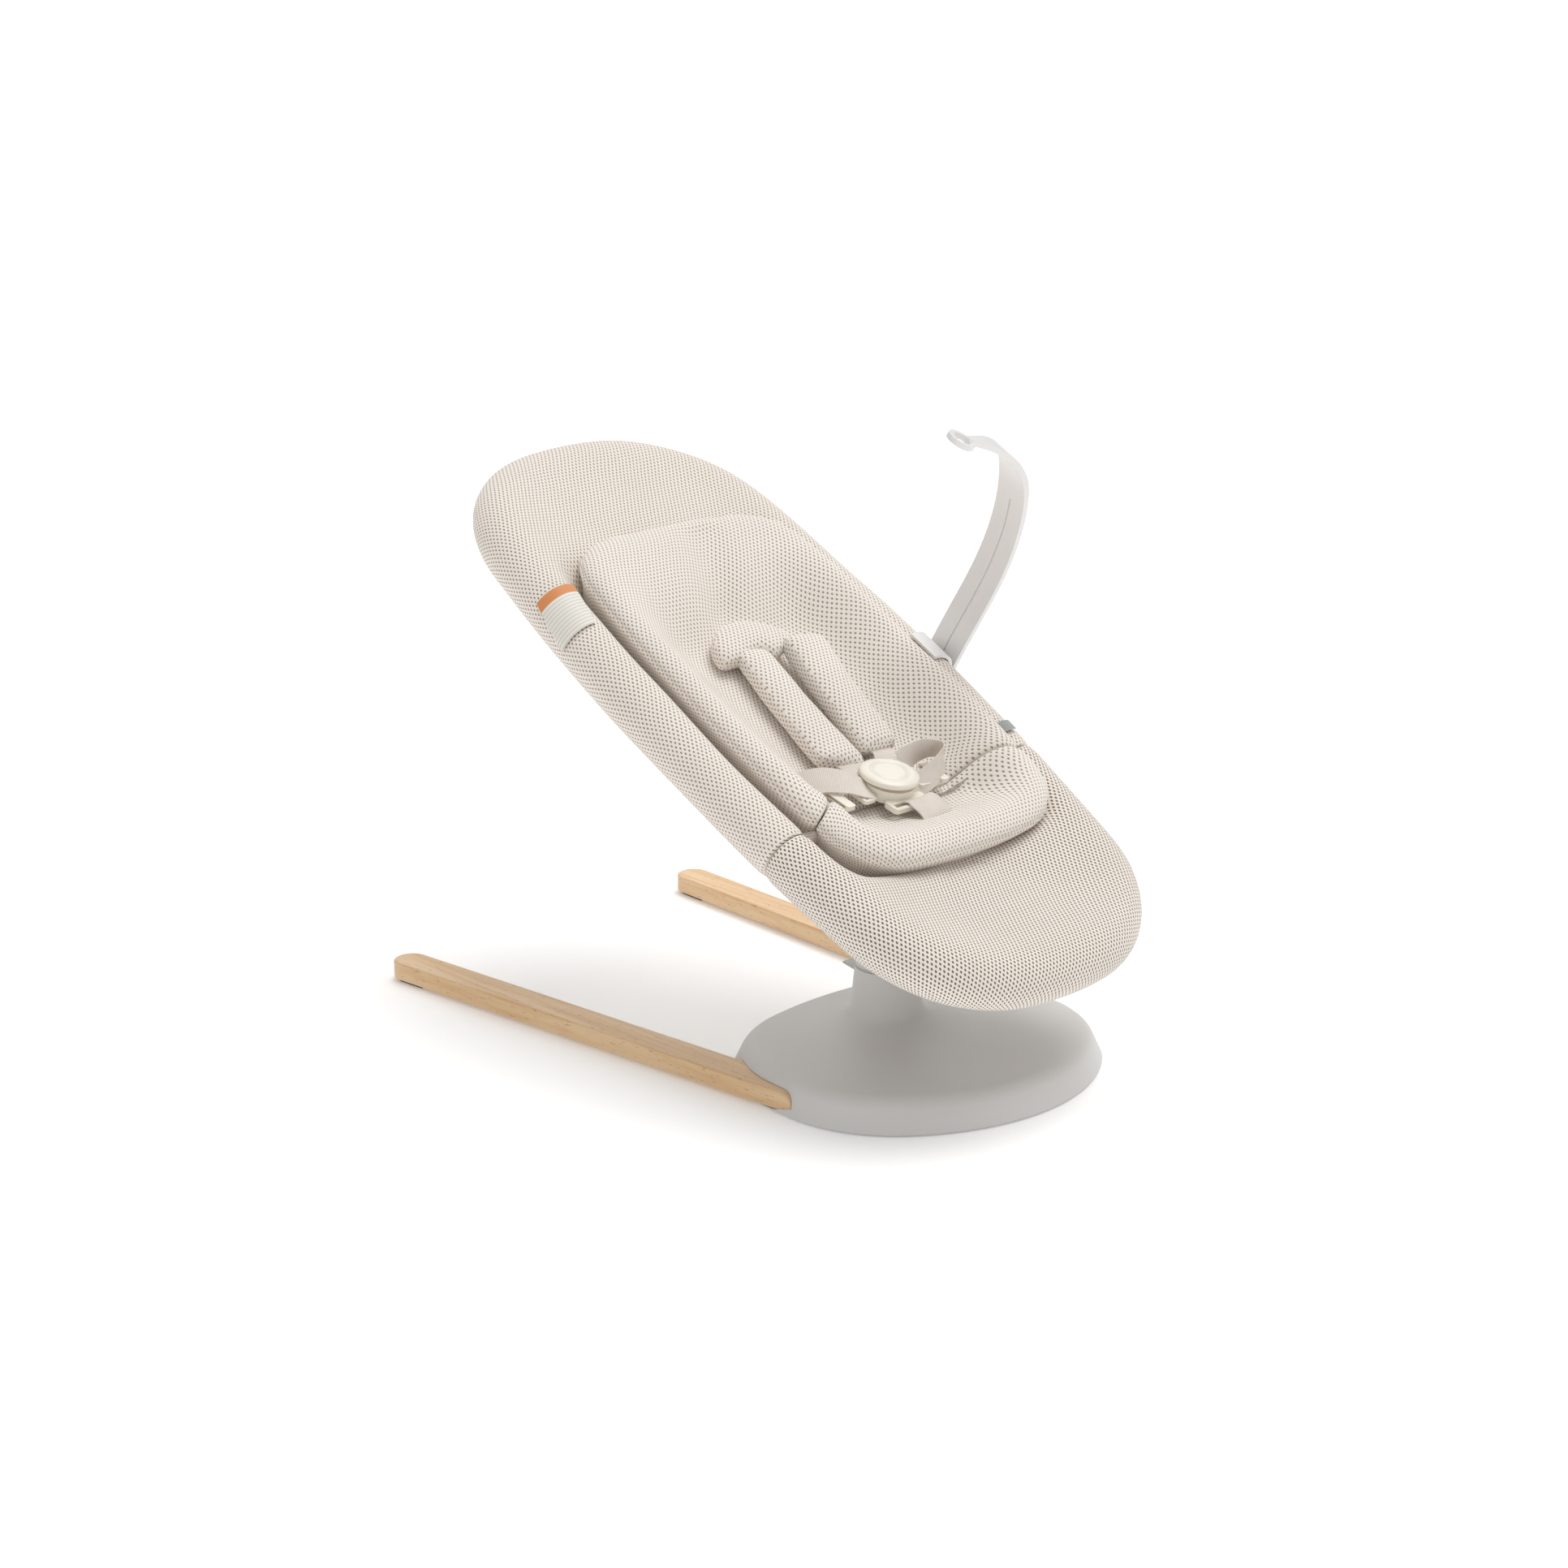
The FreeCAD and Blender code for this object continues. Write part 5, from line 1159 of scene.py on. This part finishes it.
@dataclass
class Harness:
    """Shoulder pads, collar, tapes and buckle."""

    finishes: Finishes

    def build(self) -> None:
        """Make every soft piece of the harness and the buckle's cap."""
        cloth = self.finishes.pad_mesh
        Pad("collar_cushion", "collar_pad", ((-28.0, 62.0, 4.0), (-26.0, 77.0, 7.0), (-13.0, 87.0, 9.0),
                                             (5.0, 86.0, 10.0), (19.0, 74.0, 11.0), (26.0, 60.0, 9.0)),
            21.5, 12.0, boxy=0.66).build(cloth)
        Pad("shoulder_cushion_left", "shoulder_pad_left", ((-26.0, -84.0, 8.0), (-25.0, -50.0, 8.5),
                                                           (-20.0, 8.0, 9.0), (-12.0, 72.0, 10.0)),
            25.0, 11.5, slant=16.0, boxy=0.66, taper=0.28).build(cloth)
        Pad("shoulder_cushion_right", "shoulder_pad_right", ((20.0, -90.0, 13.0), (25.0, -50.0, 15.0),
                                                             (34.0, 8.0, 17.0), (45.0, 66.0, 19.0)),
            21.5, 13.5, boxy=0.58, taper=-0.06).build(cloth)
        web = self.finishes.webbing
        Tape("shoulder_webbing_left", "shoulder_strap_left",
             ((-14.0, 72.0, 8.0), (-24.0, -60.0, 7.0), (-22.0, -94.0, 10.0), (-14.0, -110.0, 11.0)),
             ((1.0, 0.0, 0.0), (1.0, 0.0, 0.0), (1.0, 0.15, 0.1), (1.0, 0.3, 0.15)), 23.0).build(web)
        Tape("shoulder_webbing_right", "shoulder_strap_right",
             ((44.0, 60.0, 18.0), (24.0, -70.0, 13.0), (17.0, -98.0, 18.0), (10.0, -112.0, 11.0)),
             ((1.0, 0.0, 0.0), (1.0, 0.0, 0.0), (1.0, -0.2, 0.1), (1.0, -0.4, 0.1)), 23.0).build(web)
        Tape("waist_webbing_left", "waist_strap_left",
             ((-88.0, -97.0, 3.0), (-72.0, -104.0, 13.0), (-52.0, -115.0, 16.0), (-34.0, -126.0, 13.0),
              (-24.0, -131.0, 9.0)),
             ((0.15, 0.9, 0.4), (0.15, 0.92, 0.35), (0.15, 0.95, 0.25), (0.1, 0.98, 0.15),
              (0.0, 1.0, 0.0))).build(web)
        Tape("waist_webbing_right", "waist_strap_right",
             ((22.0, -136.0, 8.0), (38.0, -138.0, 13.0), (58.0, -133.0, 18.0), (72.0, -124.0, 22.0),
              (72.0, -113.0, 23.0), (56.0, -107.0, 20.0), (38.0, -108.0, 15.0), (24.0, -112.0, 9.0)),
             ((0.0, 0.9, 0.4), (0.0, 0.8, 0.6), (-0.2, 0.6, 0.8), (-0.3, 0.3, 0.9), (-0.1, -0.1, 1.0),
              (0.1, 0.3, 0.9), (0.1, 0.6, 0.7), (0.0, 0.9, 0.4)), 22.0, rows=64).build(web)
        Tape("crotch_webbing", "crotch_strap",
             ((8.0, -149.0, 6.0), (12.0, -157.0, 14.0), (15.0, -170.0, 15.0), (16.0, -181.0, 12.0),
              (16.0, -187.0, 3.0)),
             ((1.0, 0.0, 0.0), (1.0, 0.0, 0.0), (1.0, 0.05, 0.0), (1.0, 0.05, 0.0), (1.0, 0.0, 0.0)),
             38.0).build(web)
        Buckle(self.finishes).build()


# ---------------------------------------------------------------- carried-over pieces
@dataclass
class HardParts:
    """Frame pieces that keep their shape and get their real finish and soft shading."""

    finishes: Finishes
    frame: dict
    shown_angle: float = 28.0
    # visible curved pieces, redrawn from the frame with joined corners so that they shade smoothly
    smooth: tuple = (("base_cover", "base_shell"), ("leg_left", "leg_board_left"),
                     ("leg_right", "leg_board_right"), ("hub_shell_left", "hub_half_left"),
                     ("hub_shell_right", "hub_half_right"),
                     ("seam_ring", "column_seam_ring"), ("release_lever", "recline_lever"),
                     ("cross_tube_front", "under_tube_front"), ("cross_tube_rear", "under_tube_rear"),
                     ("seat_carrier", "carrier_plate"), ("buckle_body", "buckle_housing"),
                     ("buckle_tongue_left", "tongue_left"), ("buckle_tongue_right", "tongue_right"),
                     ("strap_adjusters", "adjusters"), ("toy_bar", "toy_arch"), ("toy_bar_hook", "rim_hook"),
                     ("tube_clips", "saddle_clips"), ("axle", "pivot_axle"), ("base_feet", "feet"),
                     ("leg_pads", "tip_pads"), ("centre_foot", "foot_middle"))

    def build(self) -> None:
        """Dress every frame node, and redraw the visible curved ones."""
        materials = self.finishes.by_slot()
        record = self.frame["record"]
        slots = {row["node"]: row["material_slot"] for row in record["subparts"]}
        bodies = {node: body for body, nodes in record["behaviour"]["bodies"].items() for node in nodes}
        for node, thing in self.frame["nodes"].items():
            thing.data.materials.clear()
            thing.data.materials.append(materials[slots[node]])
        for node, name in self.smooth:
            bm = bmesh.new()
            bm.from_mesh(self.frame["nodes"][node].data)
            bmesh.ops.remove_doubles(bm, verts=bm.verts, dist=2e-6)
            mark_sharp(bm, self.shown_angle)
            piece = new_object(bm, name, materials[slots[node]])
            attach(piece, bodies[node])
            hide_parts(node)
        LOG.info("dressed %d nodes", len(slots))


@dataclass
class Labels:
    """Blank care label on the left of the rim and a small folded tab on the right."""

    finishes: Finishes
    rim: Oval = Oval(167.0, 370.0, 370.0, (2200.0, 120.0, 480.0))
    side_radius: float = 2200.0
    roll: float = 27.0

    def patch(self, side: float, s0: float, s1: float, arc0: tuple[float, float], arc1: tuple[float, float],
              lift: float) -> bmesh.types.BMesh:
        """A curved patch on the padded rim.

        Args:
            side: -1 for the left of the seat, 1 for the right.
            s0: its foot end.
            s1: its head end.
            arc0: first and last angle round the roll at the foot end, from the outward side, in degrees.
            arc1: the same at the head end.
            lift: how far it stands off the roll.

        Returns:
            A thin closed patch in the seat's frame.
        """
        bm = bmesh.new()
        grid = bmesh.ops.create_grid(bm, x_segments=12, y_segments=12, size=0.5)["verts"]
        uv = bm.loops.layers.uv.new(CLOTH_UV)
        for face in bm.faces:
            for loop in face.loops:
                loop[uv].uv = (loop.vert.co.x + 0.5, loop.vert.co.y + 0.5)
        for vert in grid:
            u, v = vert.co.x + 0.5, vert.co.y + 0.5
            s = s0 + (s1 - s0) * v
            first = arc0[0] + (arc1[0] - arc0[0]) * v
            last = arc0[1] + (arc1[1] - arc0[1]) * v
            a = math.radians(first + (last - first) * u)
            line = self.rim.half_width - self.side_radius + math.sqrt(self.side_radius ** 2 - s * s)
            reach = self.roll + lift
            vert.co = (side * (line + reach * math.cos(a)), s, reach * math.sin(a))
        bmesh.ops.solidify(bm, geom=bm.faces[:], thickness=0.5)
        bmesh.ops.recalc_face_normals(bm, faces=bm.faces)
        bm.transform(SEAT)
        mark_sharp(bm, 60.0)
        return bm

    def build(self) -> None:
        """Make the label and the tab."""
        label = new_object(self.patch(-1.0, 134.0, 190.0, (-2.0, 90.0), (24.0, 116.0), 2.2),
                           "blank_care_label", self.finishes.label)
        keep(label, Body.SEAT, "label_satin", "care_label")
        tab = new_object(self.patch(1.0, -122.0, -109.0, (74.0, 118.0), (74.0, 118.0), 3.6), "side_tab_loop",
                         self.finishes.tab)
        keep(tab, Body.SEAT, "tab_twill", "side_tab")


# ---------------------------------------------------------------- studio
@dataclass
class Studio:
    """Pale floor, soft lights and the camera."""

    lens: float = 71.5
    sensor: float = 36.0
    eye: tuple[float, float, float] = (-2.0017, -1.8943, 1.0931)
    azimuth: float = 44.565
    elevation: float = 16.714
    surround: float = 0.45
    floor_glow: float = 0.16
    # (name, towards the light, how wide in degrees, brightness)
    lamps: tuple = (("key_light", (0.3, -0.15, 1.0), 40.0, 1.65),
                    ("side_light", (-1.0, -0.1, 0.5), 60.0, 0.22),
                    ("back_light", (0.7, 0.8, 0.9), 50.0, 0.5))

    def build(self) -> None:
        """Make the floor, the lights, the sky and the camera."""
        scene = bpy.context.scene
        scene.view_settings.view_transform = "Standard"
        scene.view_settings.look = "None"
        self.floor()
        self.sky()
        for lamp in self.lamps:
            self.lamp(*lamp)
        self.camera()

    def floor(self) -> None:
        """A wide pale floor."""
        bm = bmesh.new()
        bmesh.ops.create_grid(bm, x_segments=1, y_segments=1, size=40.0)
        finish = Finish("white_studio_floor")
        place = finish.add("ShaderNodeTexCoord")
        cloud = finish.add("ShaderNodeTexNoise", {"Vector": place.outputs["Object"], "Scale": 0.6})
        ramp = finish.add("ShaderNodeValToRGB", {0: cloud.outputs["Fac"]})
        ramp.color_ramp.elements[0].color = linear("FBFBFB")
        ramp.color_ramp.elements[1].color = linear("FFFFFF")
        finish.dress(Base_Color=ramp.outputs["Color"], Roughness=0.9, Specular_IOR_Level=0.1,
                     Emission_Color=linear("FFFFFF"), Emission_Strength=self.floor_glow)
        new_object(bm, "studio_floor", finish.material)

    def sky(self) -> None:
        """An even white surround, seen at full white and lit a little dimmer."""
        world = bpy.data.worlds.new("white_surround")
        world.use_nodes = True
        nodes = world.node_tree.nodes
        ray = nodes.new("ShaderNodeLightPath")
        level = nodes.new("ShaderNodeMapRange")
        level.inputs["To Min"].default_value = self.surround
        level.inputs["To Max"].default_value = 1.0
        world.node_tree.links.new(ray.outputs["Is Camera Ray"], level.inputs["Value"])
        world.node_tree.links.new(level.outputs[0], nodes["Background"].inputs["Strength"])
        nodes["Background"].inputs["Color"].default_value = linear("FFFFFF")
        bpy.context.scene.world = world

    def lamp(self, name: str, towards: tuple[float, float, float], spread: float, strength: float) -> None:
        """A distant soft light, the same all over the floor.

        Args:
            name: its name.
            towards: from the seat to the light.
            spread: how wide it is, in degrees; wider is softer.
            strength: its brightness.
        """
        data = bpy.data.lights.new(name, "SUN")
        data.angle = math.radians(spread)
        data.energy = strength
        light = bpy.data.objects.new(name, data)
        light.rotation_mode = "QUATERNION"
        light.rotation_quaternion = (-Vector(towards)).to_track_quat("-Z", "Y")
        bpy.context.scene.collection.objects.link(light)

    def camera(self) -> None:
        """The camera at the seat's front left."""
        data = bpy.data.cameras.new("studio_camera")
        data.lens = self.lens
        data.sensor_width = self.sensor
        view = bpy.data.objects.new("studio_camera", data)
        a, e = math.radians(self.azimuth), math.radians(self.elevation)
        aim = Vector((math.sin(a) * math.cos(e), math.cos(a) * math.cos(e), -math.sin(e)))
        view.location = self.eye
        view.rotation_mode = "QUATERNION"
        view.rotation_quaternion = aim.to_track_quat("-Z", "Y")
        bpy.context.scene.collection.objects.link(view)
        bpy.context.scene.camera = view


def main() -> None:
    """Load the frame, build every group in order and report."""
    logging.basicConfig(level=logging.INFO, format="%(message)s")
    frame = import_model()
    finishes = Finishes()
    HardParts(finishes, frame).build()
    SeatCover(finishes).build()
    Insert(finishes).build()
    Harness(finishes).build()
    Labels(finishes).build()
    Studio().build()


if __name__ == "__main__":
    main()
